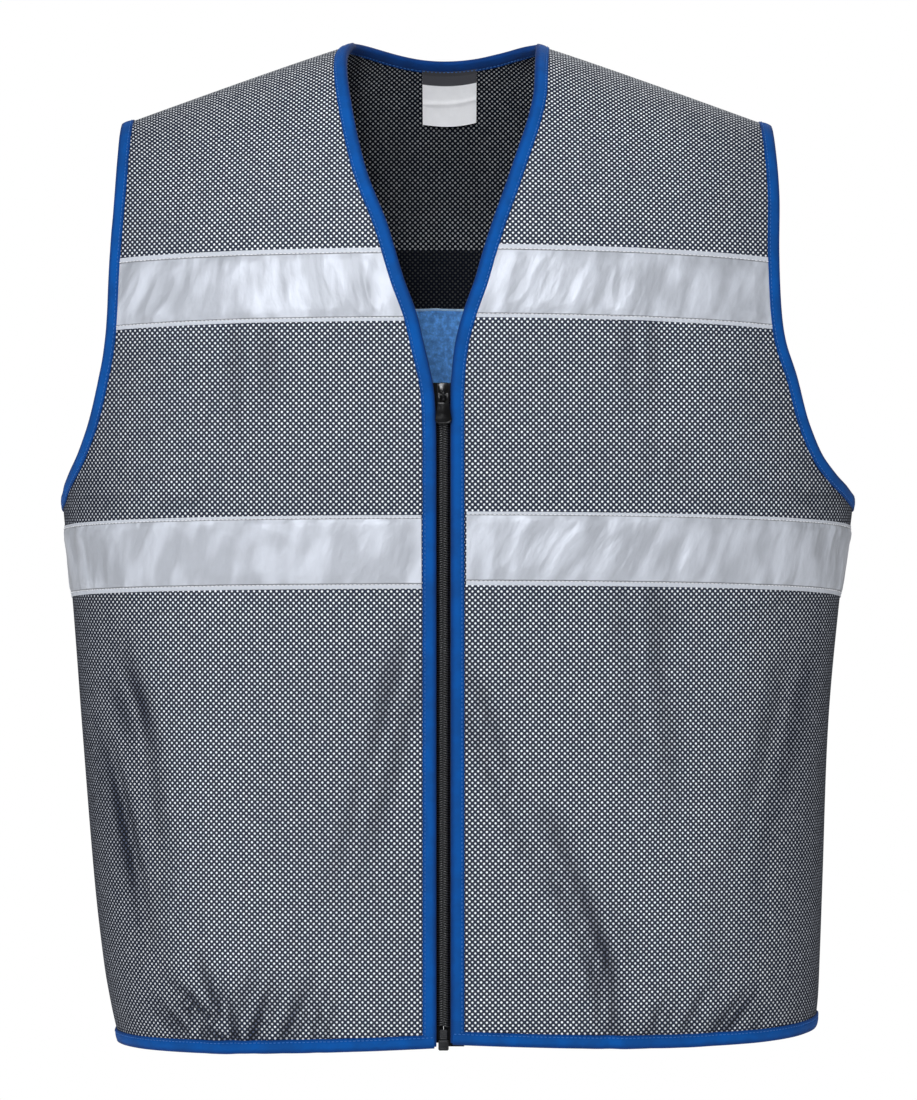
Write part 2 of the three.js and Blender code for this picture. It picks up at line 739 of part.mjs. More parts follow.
// Moves the nodes on a seam back from it by half the clearance.
function withSeamGaps(grid) {
  const copy = copyGrid(grid);
  const last = grid.rows[0].length - 1;
  const gap = clearance / 2;
  const sideEnds = grid.face === 'front' ? [[last, last - 1]] : [[0, 1], [last, last - 1]];
  for (let row = 0; row <= underarmRow; row += 1) {
    sideEnds.forEach(([end, next]) => {
      copy.rows[row][end] = moved(grid.rows[row][end], grid.rows[row][next], gap);
    });
  }
  grid.rows[topRow].forEach((node, column) => {
    if (Math.abs(node.roll) < 1e-6) {
      copy.rows[topRow][column] = moved(node, grid.rows[topRow - 1][column], gap);
    }
  });
  return copy;
}

// Section of a folded binding at one edge node, as places along the leg and offsets from
// the cloth: outer leg, fold, inner leg, then back along the inside of the fold.
const innerFace = -clothWall;
const bindingSection = [
  { on: 'leg', offset: bindingBulk },
  { on: 'edge', offset: bindingBulk },
  { on: 'fold', offset: bindingBulk / 4 },
  { on: 'fold', offset: innerFace - bindingBulk / 4 },
  { on: 'edge', offset: innerFace - bindingBulk },
  { on: 'leg', offset: innerFace - bindingBulk },
  { on: 'leg', offset: innerFace - clearance },
  { on: 'edge', offset: innerFace - clearance },
  { on: 'inside', offset: innerFace - clearance },
  { on: 'inside', offset: clearance },
  { on: 'edge', offset: clearance },
  { on: 'leg', offset: clearance },
];

function bindingRing({ edge, inset }) {
  const outward = edge.place.clone().sub(inset.place);
  outward.addScaledVector(edge.normal, -outward.dot(edge.normal)).normalize();
  return bindingSection.map(({ on, offset }) => {
    if (on === 'leg') {
      return lifted(inset, offset);
    }
    const reach = { edge: 0, fold: bindingBulk, inside: clearance }[on];
    return lifted(edge, offset).addScaledVector(outward, reach);
  });
}

// A solid through rings of points, capped where it doesn't close on itself.
function loftGeometry(rings, { closed = false, cap = null } = {}) {
  const triangles = [];
  const count = rings[0].length;
  const spans = closed ? rings.length : rings.length - 1;
  for (let k = 0; k < spans; k += 1) {
    const here = rings[k];
    const next = rings[(k + 1) % rings.length];
    for (let p = 0; p < count; p += 1) {
      const q = (p + 1) % count;
      const quad = [here[p], here[q], next[q], next[p]];
      if (here.flips?.[p]) {
        triangles.push([quad[0], quad[1], quad[3]], [quad[1], quad[2], quad[3]]);
      } else {
        triangles.push([quad[0], quad[1], quad[2]], [quad[0], quad[2], quad[3]]);
      }
    }
  }
  if (!closed) {
    const flat = cap.map(([x, y]) => new THREE.Vector2(x, y));
    const faces = THREE.ShapeUtils.triangulateShape(flat, []);
    const turn = THREE.ShapeUtils.isClockWise(flat) ? -1 : 1;
    faces.forEach(([a, b, c]) => {
      const order = turn > 0 ? [a, b, c] : [a, c, b];
      triangles.push(order.map((p) => rings.at(-1)[p]));
      triangles.push([...order].reverse().map((p) => rings[0][p]));
    });
  }
  return closedGeometry(triangles);
}

const bindingCap = bindingSection.map(({ on, offset }) => {
  const along = { leg: legSpan, edge: 0, fold: -bindingBulk, inside: -clearance }[on];
  return [along, offset];
});

// Pairs of edge and inset nodes that share a diagonal with the cloth's own cells.
function bindingGeometry(pairs, diagonals, options = {}) {
  const rings = pairs.map(bindingRing);
  rings.forEach((ring, k) => {
    const here = pairs[k];
    const next = pairs[(k + 1) % pairs.length];
    const crossed = diagonals.has(diagonalKey(here.inset, next.edge));
    ring.flips = bindingSection.map((point, p) => {
      const after = bindingSection[(p + 1) % bindingSection.length];
      const fromLeg = point.on === 'leg' && after.on === 'edge';
      const toLeg = point.on === 'edge' && after.on === 'leg';
      return (fromLeg && !crossed) || (toLeg && crossed);
    });
  });
  return loftGeometry(rings, { cap: bindingCap, ...options });
}

const nodeNames = new Map();

function diagonalKey(a, b) {
  [a, b].forEach((node) => {
    if (!nodeNames.has(node)) {
      nodeNames.set(node, nodeNames.size);
    }
  });
  return [nodeNames.get(a), nodeNames.get(b)].sort((p, q) => p - q).join('-');
}

function diagonalsOf(grids) {
  const keys = new Set();
  grids.forEach((grid) => {
    const columns = [0, grid.rows[0].length - 1];
    cellTriangles(grid, columns, [0, topRow]).forEach(([a, b, c]) => {
      [[a, b], [b, c], [c, a]].forEach(([from, to]) => keys.add(diagonalKey(from, to)));
    });
  });
  return keys;
}

const material = (finish) => new THREE.MeshStandardMaterial({ ...finishes[finish] });

function addPiece(group, name, geometry, finish) {
  const mesh = new THREE.Mesh(geometry, material(finish));
  mesh.name = name;
  group.add(mesh);
  return mesh;
}

const grids = { right: frontGrid(-1), left: frontGrid(1), back: backGrid() };
const sewn = {
  right: withSeamGaps(grids.right),
  left: withSeamGaps(grids.left),
  back: withSeamGaps(grids.back),
};
const diagonals = diagonalsOf(Object.values(grids));
const backColumns = grids.back.rows[0].length - 1;
const backLast = { right: 0, left: backColumns };
const backNext = { right: 1, left: backColumns - 1 };

function pairAt(grid, edge, inset) {
  return { edge: grid.rows[edge[1]][edge[0]], inset: grid.rows[inset[1]][inset[0]] };
}

// The three cloth panels.
function addPanels(group) {
  ['right', 'left'].forEach((side) => {
    const cells = cellTriangles(sewn[side], [0, frontColumns], [0, topRow]);
    addPiece(group, `front_panel_${side}`, sheetGeometry(cells, -clothWall, 0), 'mesh');
  });
  const cells = cellTriangles(sewn.back, [0, backColumns], [0, topRow]);
  addPiece(group, 'back_panel', sheetGeometry(cells, -clothWall, 0), 'mesh');
}

// One strip up the right front edge, round the back of the neck and down the left.
function addNeckBinding(group) {
  const front = (side) => {
    const grid = rowMoved(grids[side], 1, 2, clearance);
    const pairs = [pairAt(grid, [0, 1], [1, 1])];
    for (let row = 2; row <= topRow; row += 1) {
      pairs.push(pairAt(grids[side], [0, row], [1, row]));
    }
    return pairs;
  };
  const first = shoulderColumns;
  const last = backColumns - shoulderColumns;
  const round = [pairAt(grids.back, [first, topRow], [first - 1, topRow - 1])];
  for (let column = first; column <= last; column += 1) {
    round.push(pairAt(grids.back, [column, topRow], [column, topRow - 1]));
  }
  round.push(pairAt(grids.back, [last, topRow], [last + 1, topRow - 1]));
  const pairs = [...front('right'), ...round, ...front('left').reverse()];
  addPiece(group, 'neck_binding', bindingGeometry(pairs, diagonals), 'binding');
}

// A closed strip round each arm opening, from the underarm up the front and down the back.
function addArmholeBindings(group) {
  ['right', 'left'].forEach((side) => {
    const front = [];
    const back = [];
    const start = underarmRow - 1;
    const end = backLast[side];
    const next = backNext[side];
    for (let row = start; row <= topRow; row += 1) {
      const edgeRow = Math.max(row, underarmRow);
      front.push(pairAt(grids[side], [frontColumns, edgeRow], [frontColumns - 1, row]));
      back.push(pairAt(grids.back, [end, edgeRow], [next, row]));
    }
    const bottom = pairAt(grids[side], [frontColumns, underarmRow], [frontColumns, start]);
    const pairs = [bottom, ...front, ...back.slice(0, -1).reverse()];
    const geometry = bindingGeometry(pairs, diagonals, { closed: true });
    addPiece(group, `armhole_binding_${side}`, geometry, 'binding');
  });
}

// The strip along the hem, which wraps the lower ends of both front edges.
function addHemBinding(group) {
  const front = (side) => {
    const pairs = [];
    for (let column = 0; column <= frontColumns; column += 1) {
      pairs.push(pairAt(grids[side], [column, hemRow], [column, hemRow + 1]));
    }
    const overhang = ({ edge, inset }, next) => {
      const step = edge.place.clone().sub(next.edge.place).setLength(bindingBulk);
      const shift = (node) => ({ ...node, place: node.place.clone().add(step) });
      return { edge: shift(edge), inset: shift(inset) };
    };
    return [overhang(pairs[0], pairs[1]), ...pairs];
  };
  const back = [];
  for (let column = 1; column < backColumns; column += 1) {
    back.push(pairAt(grids.back, [column, hemRow], [column, hemRow + 1]));
  }
  const pairs = [...front('right'), ...back, ...front('left').reverse()];
  addPiece(group, 'hem_binding', bindingGeometry(pairs, diagonals), 'binding');
}

// Reflective tapes on the outside of the cloth, between the bindings and the side seams.
function addTapes(group) {
  const low = clearance;
  const high = clearance + tapeWall;
  const chest = [chestTapeRow, chestTapeRow + 1];
  const waist = [waistTapeRow, waistTapeRow + 1];
  const end = { front: frontColumns, back: backColumns };
  const between = (grid, near, far) => {
    const drawn = columnMoved(grid, near, near + 1, clearance);
    return columnMoved(drawn, far, far - 1, clearance);
  };
  const tape = (name, grid, columns, rows) => {
    const cells = cellTriangles(grid, columns, rows);
    addPiece(group, name, sheetGeometry(cells, low, high), 'reflective');
  };
  ['right', 'left'].forEach((side) => {
    const armEnd = end.front - 1;
    tape(`chest_tape_${side}`, between(sewn[side], 1, armEnd), [1, armEnd], chest);
    const fromBinding = columnMoved(sewn[side], 1, 2, clearance);
    tape(`waist_tape_${side}`, fromBinding, [1, end.front], waist);
  });
  tape('back_chest_tape', between(sewn.back, 1, end.back - 1), [1, end.back - 1], chest);
  tape('back_waist_tape', sewn.back, [0, end.back], waist);
}

// The cooling lining inside the back, from its top edge down to the hem binding.
function addLining(group) {
  const drop = tapeHeight + backTapeTop - liningTop;
  const raised = rowMoved(sewn.back, hemRow + 1, hemRow + 2, clearance);
  const grid = rowMoved(raised, chestTapeRow + 1, chestTapeRow, tapeHeight - drop);
  const cells = cellTriangles(grid, [2, backColumns - 2], [hemRow + 1, chestTapeRow + 1]);
  const high = -clothWall - clearance;
  addPiece(group, 'cooling_lining', sheetGeometry(cells, high - liningWall, high), 'lining');
}

// The label, which hangs inside the back from the neck binding's leg.
function addLabel(group) {
  const columns = 4;
  const rows = 4;
  const grid = { face: 'front', rows: [] };
  for (let row = 0; row <= rows; row += 1) {
    const nodes = [];
    for (let column = 0; column <= columns; column += 1) {
      const x = labelShift + labelWidth * (column / columns - 0.5);
      const share = 1 - x / neckHalf;
      const edge = anglesFromPlan('back', x, neckEdgeDepth(x));
      const down = legSpan + labelClearance + labelHeight * (1 - row / rows);
      const reach = bodyPoint('back', edge.around, edge.roll + 0.2 * share);
      const unit = reach.distanceTo(bodyPoint('back', edge.around, edge.roll)) / (0.2 * share);
      nodes.push(clothNode('back', edge.around, edge.roll + down / unit));
    }
    grid.rows.push(nodes);
  }
  const cells = cellTriangles(grid, [0, columns], [0, rows]);
  const high = -clothWall - labelClearance;
  addPiece(group, 'neck_label', sheetGeometry(cells, high - labelWall, high), 'label');
}

const neckEdgeDepth = (x) => neckBack * (1 - (x / neckHalf) ** 2) ** neckFullness;

// Place at the zip: distance across from its plane and offset from the cloth's face.
function zipPoint(x, offset, depth) {
  const node = bodyPoint('front', 0, rollAt(ridge(0) + depth));
  return new THREE.Vector3(x, node.y - offset, -depth);
}

// Depths below the mount of the zip's sections between two ends, at the cloth's own rows.
function zipDepths(from, to) {
  const rows = grids.right.rows.map((nodes) => -nodes[0].place.z);
  return [from, ...rows.filter((depth) => depth > from + 2 && depth < to - 2).reverse(), to];
}

const tapeFace = -clothWall - bindingBulk - clearance;
const coilFace = tapeFace + clearance + coilThickness;

function zipLoft(outline, from, to) {
  const rings = zipDepths(from, to).map((depth) =>
    outline(depth).map(([x, offset]) => zipPoint(x, offset, depth)));
  return loftGeometry(rings, { cap: outline(from) });
}

// Two cloth tapes behind the front bindings, and the two closed coils on them.
function addZipChain(group) {
  const noseEnd = zipTop + noseHeight;
  const foot = zipFoot - boxHeight - clearance;
  [['right', -1], ['left', 1]].forEach(([side, sign]) => {
    const tape = (depth) => {
      const spread = depth < noseEnd + clearance ? noseHalfWidth + clearance : clearance / 2;
      return [
        [sign * spread, tapeFace],
        [sign * zipTapeReach, tapeFace],
        [sign * zipTapeReach, tapeFace - zipTapeWall],
        [sign * spread, tapeFace - zipTapeWall],
      ];
    };
    const spreadEnd = noseEnd + clearance;
    const rings = [zipTop, spreadEnd - 0.01, spreadEnd + noseHeight / 2];
    const depths = [...rings, ...zipDepths(rings[2], foot).slice(1)];
    const tapeRings = depths.map((depth) =>
      tape(depth).map(([x, offset]) => zipPoint(x, offset, depth)));
    addPiece(group, `zip_tape_${side}`, loftGeometry(tapeRings, { cap: tape(foot) }), 'zipCloth');
    const chamfer = coilThickness / 4;
    const low = tapeFace + clearance;
    const coil = () => [
      [sign * clearance / 2, low],
      [sign * coilHalfWidth, low],
      [sign * coilHalfWidth, coilFace - chamfer],
      [sign * (coilHalfWidth - chamfer), coilFace],
      [sign * clearance / 2, coilFace],
    ];
    const coilTop = noseEnd + clearance;
    const geometry = zipLoft(coil, coilTop, foot - pinHeight);
    addPiece(group, `zip_coil_${side}`, geometry, 'zipCoil');
  });
}

function boxBetween(low, high) {
  const size = new THREE.Vector3().subVectors(high, low);
  const geometry = new THREE.BoxGeometry(size.x, size.y, size.z);
  const middle = low.clone().add(high).multiplyScalar(0.5);
  return geometry.translate(middle.x, middle.y, middle.z);
}

function toSolid(geometry) {
  const bare = geometry.clone();
  bare.deleteAttribute('normal');
  bare.deleteAttribute('uv');
  const merged = mergeVertices(bare, 1e-4);
  return new manifold.Manifold(new manifold.Mesh({
    numProp: 3,
    vertProperties: new Float32Array(merged.attributes.position.array),
    triVerts: new Uint32Array(merged.index.array),
  }));
}

function fromSolid(solid) {
  const mesh = solid.getMesh();
  const geometry = new THREE.BufferGeometry();
  const positions = new THREE.Float32BufferAttribute(mesh.vertProperties, 3);
  geometry.setAttribute('position', positions);
  geometry.setIndex(new THREE.BufferAttribute(mesh.triVerts, 1));
  return geometry;
}

// A block between distances across, offsets from a face plane and depths below the mount.
function zipBlock(face, [left, right], [low, high], [top, bottom]) {
  return toSolid(boxBetween(
    new THREE.Vector3(left, face - high, -bottom),
    new THREE.Vector3(right, face - low, -top),
  ));
}

const zipFace = (depth) => zipPoint(0, 0, depth).y;
const sliderMiddle = zipTop + sliderHeight / 2;
const sliderFace = zipFace(sliderMiddle);
const plateBack = coilFace + clearance;
const plateFront = plateBack + sliderPlate;
const hingeOffset = plateFront + (bridgeReach - bridgeWall) / 2;
const hingeDepth = zipTop + sliderHeight - bridgeHeight / 2 - bridgeWall;

// The slider: two plates round the tapes, joined by the nose, with lips and a bridge.
function addSlider(group) {
  const half = [-sliderHalfWidth, sliderHalfWidth];
  const ends = [zipTop, zipTop + sliderHeight];
  const rearFront = tapeFace - zipTapeWall - clearance;
  const block = (across, offsets, depths) => zipBlock(sliderFace, across, offsets, depths);
  const bridgeAcross = [-bridgeWidth / 2, bridgeWidth / 2];
  const bridgeTop = hingeDepth - bridgeHeight / 2;
  const bridgeEnd = hingeDepth + bridgeHeight / 2;
  const bridgeFront = plateFront + bridgeReach;
  const lipLow = tapeFace + clearance;
  const body = [
    block(half, [rearFront - sliderPlate, rearFront], ends),
    block([-noseHalfWidth, noseHalfWidth], [rearFront - 0.1, plateBack + 0.1],
      [zipTop, zipTop + noseHeight]),
    block([-sliderHalfWidth, -sliderHalfWidth + sliderLip], [lipLow, plateFront - 0.1], ends),
    block([sliderHalfWidth - sliderLip, sliderHalfWidth], [lipLow, plateFront - 0.1], ends),
    block(bridgeAcross, [plateFront - 0.1, bridgeFront], [bridgeTop, bridgeTop + bridgeWall]),
    block(bridgeAcross, [plateFront - 0.1, bridgeFront], [bridgeEnd - bridgeWall, bridgeEnd]),
    block(bridgeAcross, [bridgeFront - bridgeWall, bridgeFront], [bridgeTop, bridgeEnd]),
  ].reduce((solid, piece) => solid.add(piece), block(half, [plateBack, plateFront], ends));
  addPiece(group, 'zip_slider', fromSolid(body), 'zipMetal');
}

// The pull: a crossbar through the bridge, two arms beside it and a tab flared downwards.
function addPull(group) {
  const face = sliderFace - hingeOffset;
  const half = pullWall / 2;
  const tabTop = -pullArm;
  const shape = new THREE.Shape();
  const flare = pullWidth / 2 - 1.6;
  shape.moveTo(-pullTopWidth / 2, 0.9);
  shape.lineTo(-pullTopWidth / 2, tabTop);
  shape.lineTo(-pullWidth / 2, -pullLength + 3.2);
  shape.absarc(-flare, -pullLength + 1.9, 1.9, Math.PI * 0.93, Math.PI * 1.5, false);
  shape.absarc(flare, -pullLength + 1.9, 1.9, Math.PI * 1.5, Math.PI * 2.07, false);
  shape.lineTo(pullTopWidth / 2, tabTop);
  shape.lineTo(pullTopWidth / 2, 0.9);
  shape.closePath();
  const window = new THREE.Path();
  window.moveTo(-pullSlot / 2, 2);
  window.lineTo(pullSlot / 2, 2);
  window.lineTo(pullSlot / 2, tabTop);
  window.lineTo(-pullSlot / 2, tabTop);
  window.closePath();
  const plate = new THREE.ExtrudeGeometry(shape, {
    depth: pullWall,
    bevelEnabled: false,
    curveSegments: 5,
  });
  plate.rotateX(Math.PI / 2).translate(0, half, 0);
  const slot = boxBetween(
    new THREE.Vector3(-pullSlot / 2, -pullWall, tabTop),
    new THREE.Vector3(pullSlot / 2, pullWall, pullWall),
  );
  const bar = new THREE.CylinderGeometry(pullPin, pullPin, pullTopWidth - 0.4, 8);
  bar.rotateZ(Math.PI / 2);
  const solid = toSolid(plate).subtract(toSolid(slot)).add(toSolid(bar));
  const mesh = addPiece(group, 'zip_pull', fromSolid(solid), 'zipMetal');
  mesh.position.set(0, face, -hingeDepth);
}

// The box and the pin's sleeve that close the zip at the hem.
function addZipEnd(group) {
  const boxTop = zipFoot - boxHeight;
  const face = zipFace(boxTop);
  const middle = (coilFace + tapeFace - zipTapeWall) / 2;
  const box = zipBlock(face, [-boxWidth / 2, boxWidth / 2],
    [middle - boxDepth / 2, middle + boxDepth / 2], [boxTop, zipFoot]);
  addPiece(group, 'zip_box', fromSolid(box), 'zipMetal');
  const pinEnd = boxTop - clearance;
  const pin = zipBlock(face, [-pinWidth / 2, pinWidth / 2],
    [tapeFace + clearance, coilFace], [pinEnd - pinHeight + clearance, pinEnd]);
  addPiece(group, 'zip_pin', fromSolid(pin), 'zipMetal');
}

const vest = new THREE.Group();
addPanels(vest);
addNeckBinding(vest);
addArmholeBindings(vest);
addHemBinding(vest);
addTapes(vest);
addLining(vest);
addLabel(vest);
addZipChain(vest);
addSlider(vest);
addPull(vest);
addZipEnd(vest);

export default vest;
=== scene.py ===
"""Dresses the cooling vest: dotted mesh, folded bindings with their stitches, puckered
reflective tapes, the absorbent lining, the label and the coil zip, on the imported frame."""

import math

import bpy
import numpy as np
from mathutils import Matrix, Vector


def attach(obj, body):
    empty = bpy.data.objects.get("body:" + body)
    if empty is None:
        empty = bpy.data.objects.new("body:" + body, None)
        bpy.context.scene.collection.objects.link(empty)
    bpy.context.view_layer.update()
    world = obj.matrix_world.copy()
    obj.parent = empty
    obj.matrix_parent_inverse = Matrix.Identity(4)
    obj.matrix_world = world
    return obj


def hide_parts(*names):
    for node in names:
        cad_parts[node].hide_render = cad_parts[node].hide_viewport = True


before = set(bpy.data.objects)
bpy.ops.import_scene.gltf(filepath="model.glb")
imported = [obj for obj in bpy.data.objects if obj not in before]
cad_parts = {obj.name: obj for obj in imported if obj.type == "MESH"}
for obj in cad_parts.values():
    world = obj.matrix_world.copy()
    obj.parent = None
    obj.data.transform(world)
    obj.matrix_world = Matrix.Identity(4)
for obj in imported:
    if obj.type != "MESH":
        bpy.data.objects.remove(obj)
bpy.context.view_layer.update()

bl_info = {
    "name": "Cooling vest",
    "version": (1, 0, 0),
    "blender": (4, 5, 0),
    "location": "View3D > Sidebar > Vest",
    "description": "Builds the cloth, trims, zip and stage of a cooling vest",
    "category": "Mesh",
}

# Shape of the body and its edges, in millimetres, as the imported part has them
MM = 0.001
BODY_LENGTH = 661.1
HALF_CHEST = 278
FRONT_DEPTH = 121
BACK_DEPTH = 104
SQUARENESS = 0.15
RIDGE_RISE = 41
RIDGE_SLOPE = 0.366
RIDGE_ROUND = 40
ROLL_HEIGHT = 200
SHOULDER_CLIMB = 250
NECK_HALF = 64.5
NECK_BACK = 44
NECK_FULLNESS = 0.75
ZIP_HALF_GAP = 6.2
UNDERARM = 292.3
CLOTH_WALL = 2
LEG_SPAN = 7.7
TAPE_HEIGHT = 49.5
CHEST_TAPE_TOP = 123.4
WAIST_TAPE_TOP = 303.5
BACK_TAPE_TOP = 108.5
BACK_WAIST_TAPE_TOP = 302
LINING_TOP = 151.5
LABEL_WIDTH = 39.4
LABEL_HEIGHT = 40
LABEL_SHIFT = 3.7
ZIP_TOP = 214.5
ZIP_FOOT = 664.3
LEFT_LIFT = 2.4
HEM_SAG = 4.8
QUARTER = math.pi / 2

# Rows: height as a share of the body's length, right and left half-widths as shares of the
# half chest, front and back depths as shares of their own
SECTIONS = np.array([
    (-0.1, 0.99, 1.045, 0.97, 0.96), (0.2, 0.98, 1.045, 1.0, 1.0),
    (0.442, 0.963, 1.033, 1.0, 0.98), (0.505, 0.949, 1.014, 1.0, 0.96),
    (0.548, 0.939, 0.999, 0.995, 0.94), (0.676, 0.916, 0.971, 0.985, 0.92),
    (0.846, 0.883, 0.956, 0.965, 0.93), (0.93, 0.86, 0.949, 0.955, 0.94),
    (0.973, 0.843, 0.944, 0.95, 0.945), (1.012, 0.822, 0.932, 0.945, 0.95),
]).T

# Rows: height as a share of the zip's top, right and left distance from the zip's plane as
# shares of the half neck
STRAIGHT = ZIP_HALF_GAP / NECK_HALF
NECKLINE = np.array([
    (-0.14, 0.98, 1.03), (-0.072, 1.062, 1.008), (0.097, 1.003, 0.957),
    (0.322, 0.834, 0.728), (0.498, 0.61, 0.525), (0.594, 0.514, 0.425),
    (0.679, 0.428, 0.344), (0.783, 0.301, 0.222), (0.88, 0.223, 0.141),
    (1.006, 1.35 * STRAIGHT, 1.02 * STRAIGHT), (1.12, 1.05 * STRAIGHT, STRAIGHT),
    (1.3, STRAIGHT, STRAIGHT),
]).T

# Rows from under the arm up: share of the drop below the shoulder tip, then the reach on the
# right front, left front and back as shares of the half-width
ARMHOLE = np.array([
    (1, 1, 1, 1), (0.985, 0.991, 0.988, 0.99), (0.965, 0.983, 0.969, 0.978),
    (0.935, 0.967, 0.938, 0.955), (0.885, 0.938, 0.9, 0.915), (0.8, 0.902, 0.862, 0.872),
    (0.69, 0.873, 0.832, 0.835), (0.565, 0.849, 0.797, 0.808), (0.375, 0.838, 0.787, 0.795),
    (0.19, 0.826, 0.791, 0.795), (0, 0.82, 0.785, 0.8),
]).T

HEM_RISE = {-1: 0.0129, 1: -0.0041}
BELLY_ROWS = (0.925, 0.84, 0.755, 0.675, 0.6)
TAPE_DROOP = {"chest": 0.006 * BODY_LENGTH, "waist": 0.0115 * BODY_LENGTH}
MID_ROWS = (0.447, 0.436, 0.4235, 0.41, 0.393, 0.37, 0.342, 0.305)
ROLL_ROWS = (0, 0.2, 0.4, 0.58, 0.74, 0.88, 1)
WAIST_ROW = 7
ARM_ROW = 10
CHEST_ROW = 17
TAPE_TOP_ROW = CHEST_ROW + 1
TOP_ROW = 24
NECK_CORNER = 5 / 22

# Soft folds. Rows: 1 for the front or 0 for the back, both ends as shares of the half chest
# across and of the body's length down, breadth as a share of the half chest, and rise as a
# share of the front depth
FOLDS = (
    (1, -0.9, 0.62, -0.66, 0.97, 0.07, -0.03), (1, -0.5, 1.0, -0.3, 0.86, 0.06, 0.025),
    (1, -0.55, 1.0, -0.72, 0.84, 0.06, 0.022), (1, 0.42, 1.0, 0.36, 0.8, 0.06, 0.026),
    (1, 0.68, 1.0, 0.74, 0.82, 0.06, -0.022), (1, -0.86, 0.47, -0.5, 0.4, 0.06, 0.018),
    (1, 0.9, 0.47, 0.55, 0.4, 0.06, 0.018), (0, -0.6, 1.0, -0.5, 0.7, 0.09, 0.03),
    (0, 0.15, 1.0, 0.1, 0.68, 0.1, -0.03), (0, 0.62, 0.98, 0.55, 0.72, 0.08, 0.028),
)

# Finer creases of the cloth, in the same columns
CREASES = (
    (1, -0.78, 0.655, -0.9, 0.55, 0.04, -0.026), (1, -0.77, 0.66, -0.68, 0.86, 0.038, -0.026),
    (1, -0.78, 0.79, -0.87, 0.64, 0.016, -0.016), (1, -0.79, 0.78, -0.72, 0.93, 0.016, -0.016),
    (1, -0.54, 0.99, -0.72, 0.93, 0.016, -0.023), (1, -0.52, 0.985, -0.59, 0.9, 0.014, -0.02),
    (1, -0.449, 0.99, -0.38, 0.905, 0.016, -0.022), (1, -0.66, 0.985, -0.75, 0.95, 0.013, -0.018),
    (1, -0.3, 0.99, -0.27, 0.93, 0.014, -0.016), (1, 0.4, 0.987, 0.36, 0.88, 0.022, -0.026),
    (1, 0.377, 0.911, 0.2, 0.74, 0.032, -0.02), (1, 0.598, 0.985, 0.65, 0.945, 0.012, -0.014),
    (1, 0.695, 0.981, 0.785, 0.935, 0.014, -0.018), (1, 0.76, 0.985, 0.8, 0.96, 0.012, -0.012),
    (1, 0.86, 0.647, 0.7, 0.88, 0.05, -0.036), (1, 0.076, 0.66, 0.26, 0.85, 0.028, -0.013),
    (1, 0.475, 0.27, 0.475, 0.44, 0.04, 0.015), (1, 0.475, 0.58, 0.52, 0.8, 0.05, 0.02),
    (1, -0.468, 0.3, -0.468, 0.44, 0.05, 0.016), (1, -0.118, 0.66, -0.29, 0.9, 0.04, 0.018),
    (1, -0.93, 0.5, -0.7, 0.58, 0.03, -0.016), (1, 0.93, 0.52, 0.72, 0.6, 0.03, -0.016),
    (1, -0.6, 0.988, -0.64, 0.94, 0.012, -0.016), (1, -0.37, 0.988, -0.3, 0.93, 0.013, -0.015),
    (1, -0.82, 0.985, -0.87, 0.945, 0.013, -0.015), (1, 0.52, 0.987, 0.56, 0.94, 0.013, -0.015),
    (0, -0.3, 1.0, -0.33, 0.8, 0.03, 0.02), (0, 0.35, 1.0, 0.37, 0.8, 0.03, -0.02),
    (0, -0.8, 0.5, -0.45, 0.44, 0.035, 0.016), (0, 0.8, 0.5, 0.45, 0.44, 0.035, 0.016),
    (0, 0.5, 0.62, 0.3, 0.9, 0.04, 0.02), (0, -0.55, 0.6, -0.4, 0.9, 0.04, -0.02),
)


# shape of the cloth
def smooth(xs, ys, place):
    """Cubic Hermite curve through the points (xs, ys), each slope taken from the point's
    two neighbours, and level past the ends."""
    xs, ys = np.asarray(xs, float), np.asarray(ys, float)
    last = len(xs) - 1
    k = np.clip(np.searchsorted(xs, place) - 1, 0, last - 1)
    low = np.maximum(np.arange(last + 1) - 1, 0)
    high = np.minimum(np.arange(last + 1) + 1, last)
    slope = (ys[high] - ys[low]) / (xs[high] - xs[low])
    span = xs[k + 1] - xs[k]
    t = np.clip((place - xs[k]) / span, 0, 1)
    rising = (1 + 2 * t) * (1 - t) ** 2 * ys[k] + t * (1 - t) ** 2 * span * slope[k]
    return rising + t * t * (3 - 2 * t) * ys[k + 1] - t * t * (1 - t) * span * slope[k + 1]


def half_width(side, z):
    """Half the body's width at a height, on the wearer's right where side is below 0."""
    down = -z / BODY_LENGTH
    return HALF_CHEST * np.where(
        np.asarray(side) < 0, smooth(SECTIONS[0], SECTIONS[1], down),
        smooth(SECTIONS[0], SECTIONS[2], down))


def body_depth(front, z):
    """Depth of the body before or behind the shoulder seams at a height."""
    down = -z / BODY_LENGTH
    return np.where(
        front, FRONT_DEPTH * smooth(SECTIONS[0], SECTIONS[3], down),
        BACK_DEPTH * smooth(SECTIONS[0], SECTIONS[4], down))


def ridge(x):
    """Height of the shoulder line: a rounded crest that falls evenly outwards."""
    return RIDGE_RISE - RIDGE_SLOPE * (np.hypot(x, RIDGE_ROUND) - RIDGE_ROUND)


def drop_at(roll):
    """Drop below the shoulder line: a quarter circle, then straight down."""
    turned = np.minimum(roll, QUARTER)
    return ROLL_HEIGHT * (1 - np.cos(turned) + np.maximum(0, roll - QUARTER))


def roll_at(drop):
    """The roll angle that has a drop, the inverse of drop_at."""
    turned = np.arccos(np.clip(1 - drop / ROLL_HEIGHT, 0, 1))
    return np.where(drop > ROLL_HEIGHT, QUARTER + (drop - ROLL_HEIGHT) / ROLL_HEIGHT, turned)


